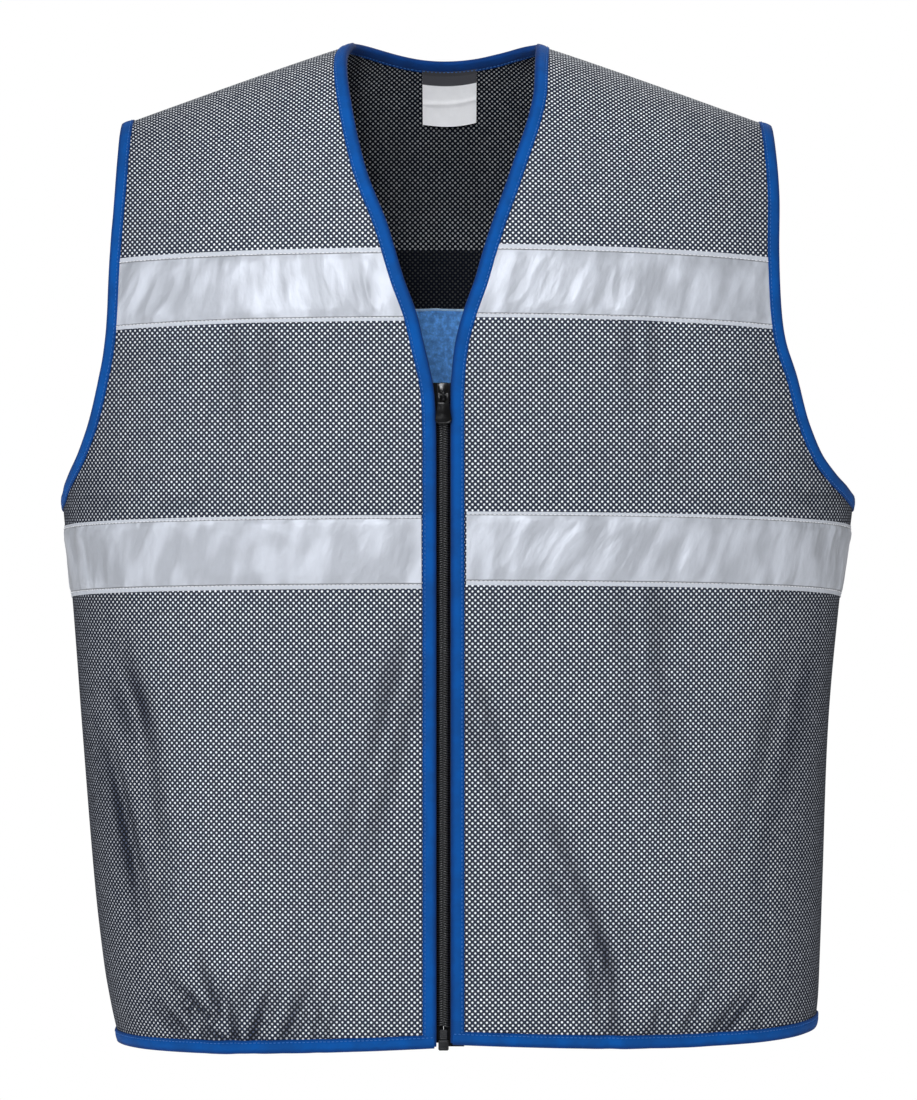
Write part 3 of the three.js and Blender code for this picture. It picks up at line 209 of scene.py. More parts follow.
def body_point(front, around, roll):
    """Point of the smooth body: x is the half-width times the sine of the angle round, y the
    depth times its cosine, swelled at the corners and rolled over the shoulder, and z lies
    the roll's drop below the shoulder line."""
    around, roll = np.broadcast_arrays(np.asarray(around, float), np.asarray(roll, float))
    x = np.zeros_like(around)
    for _ in range(8):
        z = ridge(x) - drop_at(np.abs(roll))
        x = half_width(around, z) * np.sin(around)
    full = np.cos(around) * (1 + SQUARENESS * np.sin(around) ** 2)
    over = np.where(roll < QUARTER, np.sin(roll), 1)
    y = np.where(front, -1, 1) * body_depth(front, z) * full * over
    return np.stack([x, y, z], -1)


def unit(v):
    """Vectors at length 1."""
    return v / np.maximum(np.linalg.norm(v, axis=-1, keepdims=True), 1e-12)


def body_normal(front, around, roll, step=1e-3):
    """Outward normal, from the slopes round the body and down it."""
    across = body_point(front, around + step, roll) - body_point(front, around - step, roll)
    down = body_point(front, around, roll + step) - body_point(front, around, roll - step)
    facing = np.where(front, 1, -1)[..., None]
    return unit(np.cross(down, across) * facing)


def value_noise(x, y, seed):
    """Noise from -1 to 1: a fixed scatter of heights on whole numbers, eased between."""
    xi, yi = np.floor(x), np.floor(y)
    fx, fy = x - xi, y - yi
    fx, fy = fx * fx * (3 - 2 * fx), fy * fy * (3 - 2 * fy)

    def corner(dx, dy):
        """Heights at one corner of each cell."""
        h = np.sin((xi + dx) * 127.1 + (yi + dy) * 311.7 + seed * 74.7) * 43758.5453
        return 2 * (h - np.floor(h)) - 1

    low = corner(0, 0) * (1 - fx) + corner(1, 0) * fx
    high = corner(0, 1) * (1 - fx) + corner(1, 1) * fx
    return low * (1 - fy) + high * fy


def fold_height(front, around, place):
    """Height of the folds and creases: each a bell across its line that starts sharply at
    its first end and fades towards its second, all fading out at the side seams, with a
    slow unevenness away from the zip."""
    x, down = place[..., 0], -place[..., 2]
    total = np.zeros_like(x)
    for k, (on_front, x1, z1, x2, z2, breadth, rise) in enumerate(FOLDS + CREASES):
        ax, az = (x2 - x1) * HALF_CHEST, (z2 - z1) * BODY_LENGTH
        ox, oz = x - x1 * HALF_CHEST, down - z1 * BODY_LENGTH
        t = (ox * ax + oz * az) / (ax * ax + az * az)
        side = np.abs(ox * az - oz * ax) / math.hypot(ax, az) / (breadth * HALF_CHEST)
        before = np.maximum(0, -t)
        lead = np.exp(-before * 6) if k < len(FOLDS) else np.exp(-(before * 2.6) ** 2)
        ends = np.maximum(0, 1 - np.maximum(0, t) ** 2) * lead
        shape = rise * FRONT_DEPTH * np.exp(-side * side) * ends
        total += np.where(np.asarray(front) == bool(on_front), shape, 0)
    slow = value_noise(x / 46, down / 70, 3) + 0.5 * value_noise(x / 21, down / 34, 8)
    calm = np.clip((np.abs(x) - 16) / 40, 0, 1) * np.clip((down - 60) / 120, 0, 1)
    return (total + 0.9 * slow * calm) * np.maximum(0, np.cos(around))


def cloth(front, around, roll):
    """Places and normals on the outer face of the folded cloth."""
    place = body_point(front, around, roll)
    normal = body_normal(front, around, roll)
    return place + normal * fold_height(front, around, place)[..., None], normal


def angles_near(front, point, step=1e-4):
    """Angles of the body's point nearest to each point, by Gauss-Newton steps from the
    angles of the section at its height."""
    x, z = point[..., 0], point[..., 2]
    around = np.arcsin(np.clip(x / half_width(x, z), -1, 1))
    roll = roll_at(ridge(x) - z) + 1e-6
    for _ in range(7):
        here = body_point(front, around, roll)
        da = (body_point(front, around + step, roll) - here) / step
        dr = (body_point(front, around, roll + step) - here) / step
        gap = point - here
        aa, ar, rr = (da * da).sum(-1), (da * dr).sum(-1), (dr * dr).sum(-1)
        ga, gr = (gap * da).sum(-1), (gap * dr).sum(-1)
        det = np.maximum(aa * rr - ar * ar, 1e-9)
        around = around + np.clip((ga * rr - gr * ar) / det, -0.1, 0.1)
        roll = roll + np.clip((gr * aa - ga * ar) / det, -0.1, 0.1)
    return around, roll


def angles_at_height(sign, x, z):
    """Angles at a height, at a distance from the zip's plane."""
    around = sign * np.arcsin(np.minimum(1, np.abs(x) / half_width(sign, z)))
    return around, roll_at(ridge(x) - z)


def front_edge(sign, z):
    """Distance of the cloth's front edge from the zip's plane at a height."""
    return NECK_HALF * smooth(NECKLINE[0], NECKLINE[1 if sign < 0 else 2], -z / ZIP_TOP)


def settle(value, step, passes=14):
    """A value that a step leaves unchanged."""
    for _ in range(passes):
        value = step(value)
    return value


def tip_height(sign):
    """Height of the shoulder tip."""
    reach = ARMHOLE[1 if sign < 0 else 2][-1]
    return settle(0.0, lambda z: float(ridge(half_width(sign, z) * reach)))


def arm_curve(front, sign, place):
    """Angles on the edge of an arm opening, from place 0 under the arm to 10 at the tip."""
    tip = ARMHOLE[1 if sign < 0 else 2][-1]
    column = (1 if sign < 0 else 2) if front else 3
    reaches = np.arcsin(np.append(ARMHOLE[column][:-1], tip))
    steps = np.arange(len(reaches))
    top = tip_height(sign)
    z = top - smooth(steps, ARMHOLE[0], place) * (UNDERARM + top)
    around = smooth(steps, reaches, place)
    x = half_width(sign, z) * np.sin(around)
    return sign * around, roll_at(ridge(x) - z)


def back_neck(share):
    """Angles on the back neck edge, from share 0 at the right shoulder to 1 at the left."""
    turn = share * math.pi
    reach = {s: settle(0.0, lambda x, s=s: float(front_edge(s, ridge(x)))) for s in (-1, 1)}
    x = -np.cos(turn) * np.where(turn < QUARTER, reach[-1], reach[1])
    y = NECK_BACK * np.abs(np.sin(turn)) ** (2 * NECK_FULLNESS)
    return angles_from_plan(x, y)


def angles_from_plan(x, y):
    """Angles of the back's point above a place of the plan."""
    z = ridge(x)
    for _ in range(8):
        around = np.arcsin(x / half_width(x, z))
        full = np.cos(around) * (1 + SQUARENESS * np.sin(around) ** 2)
        roll = np.arcsin(np.clip(y / (body_depth(False, z) * full), -1, 1))
        z = ridge(x) - drop_at(np.abs(roll))
    return around, roll


def level_rows(front, sign):
    """Depths of the level rows below the mount: at the centre, at the side, and their sag."""
    lift = LEFT_LIFT if front and sign > 0 else 0
    hem_side = BODY_LENGTH * (1 + HEM_RISE[sign])
    chest = CHEST_TAPE_TOP if front else BACK_TAPE_TOP
    waist = WAIST_TAPE_TOP if front else BACK_WAIST_TAPE_TOP
    top = tip_height(sign)
    belly = np.array(BELLY_ROWS)
    near_hem = (belly - belly[-1]) / (1 - belly[-1])
    belly_side = belly * BODY_LENGTH + TAPE_DROOP["waist"] * (1 - near_hem)
    belly_side += (hem_side - BODY_LENGTH) * near_hem
    sag = HEM_SAG if front else 0
    middle = np.array(MID_ROWS) * BODY_LENGTH
    arm_side = ARMHOLE[0][:7] * (UNDERARM + top) - top
    centre = [BODY_LENGTH, BODY_LENGTH - LEG_SPAN, *belly * BODY_LENGTH,
              waist + TAPE_HEIGHT, waist, *middle, chest + TAPE_HEIGHT, chest]
    side = [hem_side, hem_side - LEG_SPAN, *belly_side,
            waist + TAPE_HEIGHT + TAPE_DROOP["waist"], waist + TAPE_DROOP["waist"],
            UNDERARM + LEG_SPAN, *arm_side,
            chest + TAPE_HEIGHT + TAPE_DROOP["chest"], chest + TAPE_DROOP["chest"]]
    bow = [sag, sag, *sag * near_hem ** 2] + [0] * 12
    return lift - np.array(centre), -np.array(side), np.array(bow)


def at_row(values, row):
    """A column of the rows read at a row number and its fractions."""
    return smooth(np.arange(len(values)), values, np.minimum(row, len(values) - 1))


def roll_share(row):
    """How far a row above the chest tape has rolled to the shoulder seam or neck edge."""
    return smooth(np.arange(len(ROLL_ROWS)), ROLL_ROWS, np.maximum(0, row - TAPE_TOP_ROW))


def outer_edge(front, sign, row):
    """Angles where the rows end: on the side seam, and above the underarm on the arm
    opening, at the place that has the row's height or, over the chest tape, its roll."""
    heights = at_row(level_rows(front, sign)[1], row)
    side_around = np.full_like(row, sign * QUARTER)
    x = half_width(sign, heights)
    side_roll = roll_at(ridge(x) - heights)
    places = np.linspace(0, 10, 1001)
    around, roll = arm_curve(front, sign, places)
    curve_heights = body_point(front, around, roll)[..., 2]
    by_height = np.interp(heights, curve_heights, places)
    tape_roll = np.interp(at_row(level_rows(front, sign)[1], TAPE_TOP_ROW), curve_heights, roll)
    by_roll = np.interp(-tape_roll * (1 - roll_share(row)), -roll, places)
    place = np.where(row > TAPE_TOP_ROW, by_roll, by_height)
    arm_around, arm_roll = arm_curve(front, sign, place)
    on_side = row < ARM_ROW
    return (np.where(on_side, side_around, arm_around), np.where(on_side, side_roll, arm_roll))


def level_roll(around, end_around, end_height, centre, bow):
    """Roll on a level row whose height eases from the centre's to its end's, with a bow."""
    share = around / end_around
    z = centre + (end_height - centre) * share ** 2 - bow * 4 * share * (1 - share)
    x = half_width(around, z) * np.sin(around)
    return roll_at(ridge(x) - z)


def front_angles(sign, across, row):
    """Angles on a front: across runs from the front edge to the side or arm edge."""
    centre, _, bow = (at_row(column, row) for column in level_rows(True, sign))
    end_around, end_roll = outer_edge(True, sign, row)
    edge_around = angles_at_height(sign, front_edge(sign, centre), centre)[0]
    top = np.array([float(TAPE_TOP_ROW)])
    top_height = at_row(level_rows(True, sign)[0], top)
    start_roll = angles_at_height(sign, front_edge(sign, top_height), top_height)[1][0]
    roll_target = start_roll * (1 - roll_share(row))
    x = settle(np.full_like(row, NECK_HALF),
               lambda v: front_edge(sign, ridge(v) - drop_at(roll_target)))
    rolled = angles_at_height(sign, x, ridge(x) - drop_at(roll_target))[0]
    start = np.where(row > TAPE_TOP_ROW, rolled, edge_around)
    around = start[:, None] + (end_around - start)[:, None] * across[None, :]
    end_height = body_point(True, end_around, end_roll)[:, 2]
    level = level_roll(around, end_around[:, None], end_height[:, None],
                       centre[:, None], bow[:, None])
    first_around, first_end = front_row_at_tape(sign, across)
    tape_roll = level_roll(first_around, first_end[0], first_end[1], first_end[2], 0)
    above = tape_roll[None, :] * (1 - roll_share(row))[:, None]
    return around, np.where((row > TAPE_TOP_ROW)[:, None], above, level)


def front_row_at_tape(sign, across):
    """Angles round the front's row on the chest tape's upper edge, and how it ends."""
    row = np.array([float(TAPE_TOP_ROW)])
    centre = at_row(level_rows(True, sign)[0], row)
    end_around, end_roll = outer_edge(True, sign, row)
    start = angles_at_height(sign, front_edge(sign, centre), centre)[0]
    around = start + (end_around - start) * across
    height = body_point(True, end_around, end_roll)[:, 2]
    return around, (end_around[0], height[0], centre[0])


def back_angles(across, row):
    """Angles on the back: across runs from the wearer's right edge to the left one, and the
    top row follows the shoulder seams and the neck edge between them."""
    ends = {sign: outer_edge(False, sign, row) for sign in (-1, 1)}
    tape_row = np.array([float(TAPE_TOP_ROW)])
    tape_ends = {sign: outer_edge(False, sign, tape_row) for sign in (-1, 1)}
    tips = [ARMHOLE[1][-1], ARMHOLE[2][-1]]
    tip = [-math.asin(tips[0]), math.asin(tips[1])]
    corner = [float(back_neck(np.array([s]))[0][0]) for s in (0.0, 1.0)]
    neck_share = np.clip((across - NECK_CORNER) / (1 - 2 * NECK_CORNER), 0, 1)
    neck_around, neck_roll = back_neck(neck_share)
    outside = np.minimum(across, 1 - across) / NECK_CORNER
    right = tip[0] + (corner[0] - tip[0]) * outside
    left = tip[1] + (corner[1] - tip[1]) * outside
    seam = np.where(across < 0.5, right, left)
    top_around = np.where(outside < 1, seam, neck_around)
    top_roll = np.where(outside < 1, 0, neck_roll)

    def spread(pair):
        """Even steps from the right end to the left one."""
        return pair[-1][0][:, None] + (pair[1][0] - pair[-1][0])[:, None] * across[None, :]

    def level(pair, rows):
        """Roll on level rows between a pair of ends."""
        around = spread(pair)
        on_right = around < 0
        sides = {s: [at_row(c, rows)[:, None] for c in level_rows(False, s)] for s in (-1, 1)}
        heights = {s: body_point(False, *pair[s])[:, 2][:, None] for s in (-1, 1)}
        end_around = np.where(on_right, pair[-1][0][:, None], pair[1][0][:, None])
        end_height = np.where(on_right, heights[-1], heights[1])
        centre = np.where(on_right, sides[-1][0], sides[1][0])
        return level_roll(around, end_around, end_height, centre, 0)

    share = roll_share(row)[:, None]
    even_tip = tip[0] + (tip[1] - tip[0]) * across
    around = spread(ends) + share ** 2 * (top_around - even_tip)[None, :]
    tape_roll = level(tape_ends, tape_row)
    above = tape_roll + (top_roll[None, :] - tape_roll) * share
    return around, np.where((row > TAPE_TOP_ROW)[:, None], above, level(ends, row))


def row_numbers(first, last, step):
    """Row numbers from first to last with about a step in millimetres between them."""
    centre, side, _ = level_rows(True, -1)
    drops = np.maximum(np.abs(np.diff(centre)), np.abs(np.diff(side)))
    drops = np.append(drops, SHOULDER_CLIMB * np.diff(ROLL_ROWS))
    parts = [np.linspace(k, k + 1, max(1, math.ceil(drops[k] / step)), endpoint=False)
             for k in range(first, last)]
    return np.append(np.concatenate(parts), last).astype(float)


def cloth_height(front, around, roll, place):
    """Distance up the cloth: the height, and over the shoulder the length of the roll."""
    depth = body_depth(front, place[..., 2])
    depth = depth * np.cos(around) * (1 + SQUARENESS * np.sin(around) ** 2)
    left = np.maximum(0, QUARTER - roll)
    marks = (np.arange(12) + 0.5) / 12
    turn = roll[..., None] + left[..., None] * marks
    rate = np.hypot(depth[..., None] * np.cos(turn), ROLL_HEIGHT * np.sin(turn))
    rolled = ridge(place[..., 0]) - ROLL_HEIGHT + left * rate.mean(-1)
    return np.where(roll < QUARTER, rolled, place[..., 2])


def metric_uv(front, around, roll, place):
    """Position on the flat cloth in millimetres: the way along each row from the zip's
    plane, and the distance up the cloth."""
    steps = np.linalg.norm(np.diff(place[..., :2], axis=1), axis=-1)
    along = np.concatenate([np.zeros((len(steps), 1)), np.cumsum(steps, 1)], 1)
    zero = np.abs(around).argmin(1)
    rows = np.arange(len(along))
    start = along[rows, zero] - place[rows, zero, 0]
    direction = np.sign(around[:, -1:] - around[:, :1])
    crossing = around[:, 0] * around[:, -1] < 0
    begin = np.abs(place[:, 0, 0])
    s = np.where(crossing[:, None], along - start[:, None], direction * (along + begin[:, None]))
    return np.stack([s, cloth_height(front, around, roll, place)], -1)


# meshes
def make_piece(name, points, faces, materials, uv=None, face_slots=None, sharp=50,
               values=None):
    """A mesh object from points in millimetres, with a UV in millimetres named metric and
    float values on its points."""
    mesh = bpy.data.meshes.new(name)
    mesh.from_pydata((np.asarray(points) * MM).tolist(), [], [list(f) for f in faces])
    for made in materials:
        mesh.materials.append(made)
    mesh.polygons.foreach_set("use_smooth", np.ones(len(mesh.polygons), bool))
    if face_slots is not None:
        mesh.polygons.foreach_set("material_index", np.asarray(face_slots, np.int32))
    if uv is not None:
        layer = mesh.uv_layers.new(name="metric")
        corner = np.zeros(len(mesh.loops), np.int32)
        mesh.loops.foreach_get("vertex_index", corner)
        layer.data.foreach_set("uv", np.asarray(uv, np.float32)[corner].ravel())
    for key, column in (values or {}).items():
        attribute = mesh.attributes.new(key, "FLOAT", "POINT")
        attribute.data.foreach_set("value", np.asarray(column, np.float32).ravel())
    mesh.set_sharp_from_angle(angle=math.radians(sharp))
    mesh.update()
    piece = bpy.data.objects.new(name, mesh)
    bpy.context.scene.collection.objects.link(piece)
    return piece


def grid_faces(rows, columns, closed_rows=False, closed_columns=False):
    """Four-sided faces over a grid of points numbered row by row."""
    r = np.arange(rows if closed_rows else rows - 1)
    c = np.arange(columns if closed_columns else columns - 1)
    r, c = np.meshgrid(r, c, indexing="ij")
    r2, c2 = (r + 1) % rows, (c + 1) % columns
    cells = np.stack([r * columns + c, r * columns + c2, r2 * columns + c2, r2 * columns + c], -1)
    return cells.reshape(-1, 4)


def outward(points, faces, normals):
    """The faces, turned over where they face against the points' normals on the whole."""
    a, b, d = (points[faces[:, k]] for k in (0, 1, 3))
    facing = (np.cross(b - a, d - a) * normals[faces[:, 0]]).sum()
    return faces if facing > 0 else faces[:, ::-1]


def shell(name, place, normal, high, low, materials, uv, values=None):
    """A closed sheet over a grid of places: an outer and an inner layer at two heights
    along the normals, joined round the border. The inner layer has the last material."""
    rows, columns = place.shape[:2]
    flat, up = place.reshape(-1, 3), normal.reshape(-1, 3)
    high, low = (np.broadcast_to(h, place.shape[:2]).reshape(-1, 1) for h in (high, low))
    count = rows * columns
    outer = outward(flat, grid_faces(rows, columns), up)
    index = np.arange(count).reshape(rows, columns)
    loop = np.concatenate([index[0, :-1], index[:-1, -1], index[-1, :0:-1], index[:0:-1, 0]])
    rim = np.stack([loop, np.roll(loop, -1), np.roll(loop, -1) + count, loop + count], -1)
    if outer[0, 0] == 0:
        rim = rim[:, ::-1]
    faces = np.concatenate([outer, outer[:, ::-1] + count, rim])
    slots = np.repeat([0, len(materials) - 1, 0], [len(outer), len(outer), len(rim)])
    points = np.concatenate([flat + up * high, flat + up * low])
    doubled = {k: np.tile(np.asarray(v).ravel(), 2) for k, v in (values or {}).items()}
    return make_piece(name, points, faces, materials, np.tile(uv.reshape(-1, 2), (2, 1)),
                      slots, values=doubled)


def tube(rings, closed=False):
    """Points and faces of a solid through rings of points, capped unless it closes."""
    count, around = rings.shape[:2]
    points = rings.reshape(-1, 3)
    outwards = (rings - rings.mean(1, keepdims=True)).reshape(-1, 3)
    faces = outward(points, grid_faces(count, around, closed, True), outwards).tolist()
    if not closed:
        first = list(range(around))
        last = [len(points) - around + k for k in first]
        turned = faces[0][0] != 0
        faces += [first if turned else first[::-1], last[::-1] if turned else last]
    return points, faces


def bar_rings(path, side, lift, wide, thick, count):
    """Elliptic rings along a path: wide along side and thick along lift."""
    turn = circle(count)
    return (path[:, None] + side[..., None, :] * (wide * np.cos(turn))[..., None]
            + lift[..., None, :] * (thick * np.sin(turn))[..., None])


def circle(count):
    """Even angles round a circle."""
    return np.arange(count) * 2 * math.pi / count


def sampled(front, around, roll, step):
    """A curve on the body resampled to even steps in millimetres."""
    points = body_point(front, around, roll)
    length = np.append(0, np.cumsum(np.linalg.norm(np.diff(points, axis=0), axis=1)))
    marks = np.linspace(0, length[-1], max(3, round(length[-1] / step)))
    return {"front": np.full(len(marks), front), "around": np.interp(marks, length, around),
            "roll": np.interp(marks, length, roll)}


def joined(parts, closed=False):
    """Curves end to end, with the shared points kept once."""
    kept = [{k: v[(0 if n == 0 else 1):] for k, v in part.items()}
            for n, part in enumerate(parts)]
    path = {k: np.concatenate([part[k] for part in kept]) for k in kept[0]}
    return {k: v[:-1] for k, v in path.items()} if closed else path


class Strip:
    """A path along an edge of the cloth, with places and normals at any distance inwards."""

    def __init__(self, path, inward, closed):
        self.path, self.closed = path, closed
        base = body_point(path["front"], path["around"], path["roll"])
        normal = body_normal(path["front"], path["around"], path["roll"])
        if closed:
            tangent = np.roll(base, -1, 0) - np.roll(base, 1, 0)
        else:
            tangent = np.gradient(base, axis=0)
        self.side = unit(np.cross(normal, unit(tangent))) * inward
        self.base = base
        steps = np.linalg.norm(np.diff(base, axis=0), axis=1)
        self.length = np.append(0, np.cumsum(steps))
        self.whole = self.length[-1]
        if closed:
            self.whole += np.linalg.norm(base[0] - base[-1])

    def at(self, distance):
        """Places and normals of the cloth at a distance inwards from the edge."""
        front = self.path["front"]
        if distance == 0:
            return cloth(front, self.path["around"], self.path["roll"])
        return cloth(front, *angles_near(front, self.base + self.side * distance))


def binding_profile(bulk):
    """Section of a folded binding as rows (place, offset): place is the distance in from
    the edge, or minus the reach beyond it, going over the outer leg, round the fold, over
    the inner leg, and back along the cloth."""
    leg = [(7.95, 0.2), (7.75, 0.75), (7.2, bulk - 0.2), (6.6, bulk - 0.38), (6.2, bulk - 0.48),
           (5.8, bulk - 0.38), (5, bulk), (3.5, bulk + 0.18), (1.8, bulk + 0.15), (0.3, bulk)]
    turns = np.radians([62, 40, 20, 0, -20, -40, -62])
    half = bulk + CLOTH_WALL / 2
    fold = [(-1.45 * math.cos(a) ** 0.7, -CLOTH_WALL / 2 + half * math.sin(a)) for a in turns]
    inner = [(place, -CLOTH_WALL - offset) for place, offset in leg[::-1]]
    lining = [(7.6, -CLOTH_WALL - 0.12), (3.5, -CLOTH_WALL - 0.12), (0.3, -CLOTH_WALL - 0.12),
              (0.3, 0.12), (3.5, 0.12), (7.6, 0.12)]
    return np.array(leg + fold + inner + lining)


def build_binding(name, strip, bulk, materials):
    """The folded strip: its section carried along the edge, a little thicker and thinner
    along the way."""
    profile = binding_profile(bulk)
    edge, edge_normal = strip.at(0)
    near, _ = strip.at(LEG_SPAN)
    out = edge - near
    out = unit(out - edge_normal * (out * edge_normal).sum(-1, keepdims=True))
    uneven = 1 + 0.07 * value_noise(strip.length / 13, strip.length * 0, len(name))
    rings = []
    cache = {0: (edge, edge_normal)}
    for place, offset in profile:
        inside = max(place, 0)
        if inside not in cache:
            cache[inside] = strip.at(inside)
        base, normal = cache[inside]
        lift = np.where(np.abs(offset + 1) > 1.3, uneven, 1)[:, None] * (offset + 1) - 1
        rings.append(base + normal * lift + out * max(-place, 0))
    points, faces = tube(np.stack(rings, 1), strip.closed)
    across = np.append(0, np.cumsum(np.hypot(*np.diff(profile, axis=0).T)))
    uv = np.stack(np.meshgrid(strip.length, across, indexing="ij"), -1)
    return make_piece(name, points, faces, materials, uv.reshape(-1, 2))


# A stitch's rings along it: place from 0 to 1, then radius and height as shares of half the
# thread's thickness
STITCH_RINGS = np.array([(0, 0.15, -0.75), (0.14, 0.8, 0.05), (0.5, 1, 0.55), (0.86, 0.8, 0.05),
                         (1, 0.15, -0.75)])
STITCH_SIDES = 5


def build_stitches(name, lines, look, sizes):
    """Rows of stitches. Each line gives places, normals and whether it closes; a stitch is
    a small bead whose ends dip into the cloth."""
    length, width = sizes.stitch_length / MM, sizes.stitch_width / MM
    radius, height = STITCH_RINGS[:, 1:].T * width / 2
    turns = circle(STITCH_SIDES)
    per = len(STITCH_RINGS) * STITCH_SIDES
    first = np.arange(STITCH_SIDES)
    sides = grid_faces(len(STITCH_RINGS), STITCH_SIDES, False, True)
    caps = np.array([first[::-1], first + per - STITCH_SIDES])
    points, faces, start = [], [], 0
    for place, normal, closed in lines:
        if closed:
            place, normal = (np.concatenate([v, v[:1]]) for v in (place, normal))
        marks = np.append(0, np.cumsum(np.linalg.norm(np.diff(place, axis=0), axis=1)))
        count = int(marks[-1] / (sizes.stitch_pitch / MM))
        begin = (np.arange(count) + 0.5) * marks[-1] / count - length / 2
        where = begin[:, None] + STITCH_RINGS[:, 0] * length
        base, up = (np.stack([np.interp(where, marks, v[:, k]) for k in range(3)], -1)
                    for v in (place, normal))
        along = unit(base[:, -1] - base[:, 0])[:, None]
        side = unit(np.cross(up, along))
        up = unit(np.cross(along, side))
        across = np.cos(turns)[:, None] * radius[:, None, None]
        above = np.sin(turns)[:, None] * radius[:, None, None] + height[:, None, None]
        ring = base[:, :, None] + side[:, :, None] * across + up[:, :, None] * above
        shift = (start + np.arange(count) * per)[:, None, None]
        faces += (sides + shift).reshape(-1, 4).tolist()
        faces += (caps + shift).reshape(-1, STITCH_SIDES).tolist()
        points.append(ring.reshape(-1, 3))
        start += count * per
    return make_piece(name, np.concatenate(points), faces, [material(look)], sharp=180)


def ride_and_stand(piece, body, slot, *nodes):
    """Ties a piece to its body and hides the nodes that it stands for; the slot is not used."""
    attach(piece, body)
    if nodes:
        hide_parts(*nodes)
    return piece


# edges of the vest
EDGE_STEP = 2.4


def front_edge_path(sign):
    """The front edge of one front, from the hem to the shoulder seam."""
    row = row_numbers(0, TOP_ROW, 3)
    around, roll = front_angles(sign, np.array([0.0, 1.0]), row)
    return around[:, 0], roll[:, 0]


def reverse(part):
    """The same curve, walked the other way."""
    return {k: v[::-1] for k, v in part.items()}


def neck_strip():
    """Up the right front edge, round the back of the neck and down the left front edge."""
    right = sampled(True, *front_edge_path(-1), EDGE_STEP)
    left = reverse(sampled(True, *front_edge_path(1), EDGE_STEP))
    back = sampled(False, *back_neck(np.linspace(0, 1, 241)), EDGE_STEP)
    return Strip(joined([right, back, left]), 1, False)


def arm_strip(sign):
    """Round one arm opening: up the front from the underarm and down the back."""
    places = np.linspace(0, 10, 401)
    front = sampled(True, *arm_curve(True, sign, places), EDGE_STEP)
    back = reverse(sampled(False, *arm_curve(False, sign, places), EDGE_STEP))
    return Strip(joined([front, back], closed=True), sign, True)


def hem_strip():
    """Along the hem from the right front edge round the back to the left front edge."""
    across = np.linspace(0, 1, 161)
    row = np.array([0.0])
    fronts = {s: sampled(True, *(a[0] for a in front_angles(s, across, row)), EDGE_STEP)
              for s in (-1, 1)}
    back = sampled(False, *(a[0] for a in back_angles(np.linspace(0, 1, 321), row)), EDGE_STEP)
    return Strip(joined([fronts[-1], back, reverse(fronts[1])]), -1, False)


# shader helpers
def srgb(red, green, blue):
    """Linear colour of a screen colour from 0 to 255."""
    share = np.array([red, green, blue]) / 255
    linear = np.where(share < 0.04045, share / 12.92, ((share + 0.055) / 1.055) ** 2.4)
    return tuple(float(v) for v in linear)


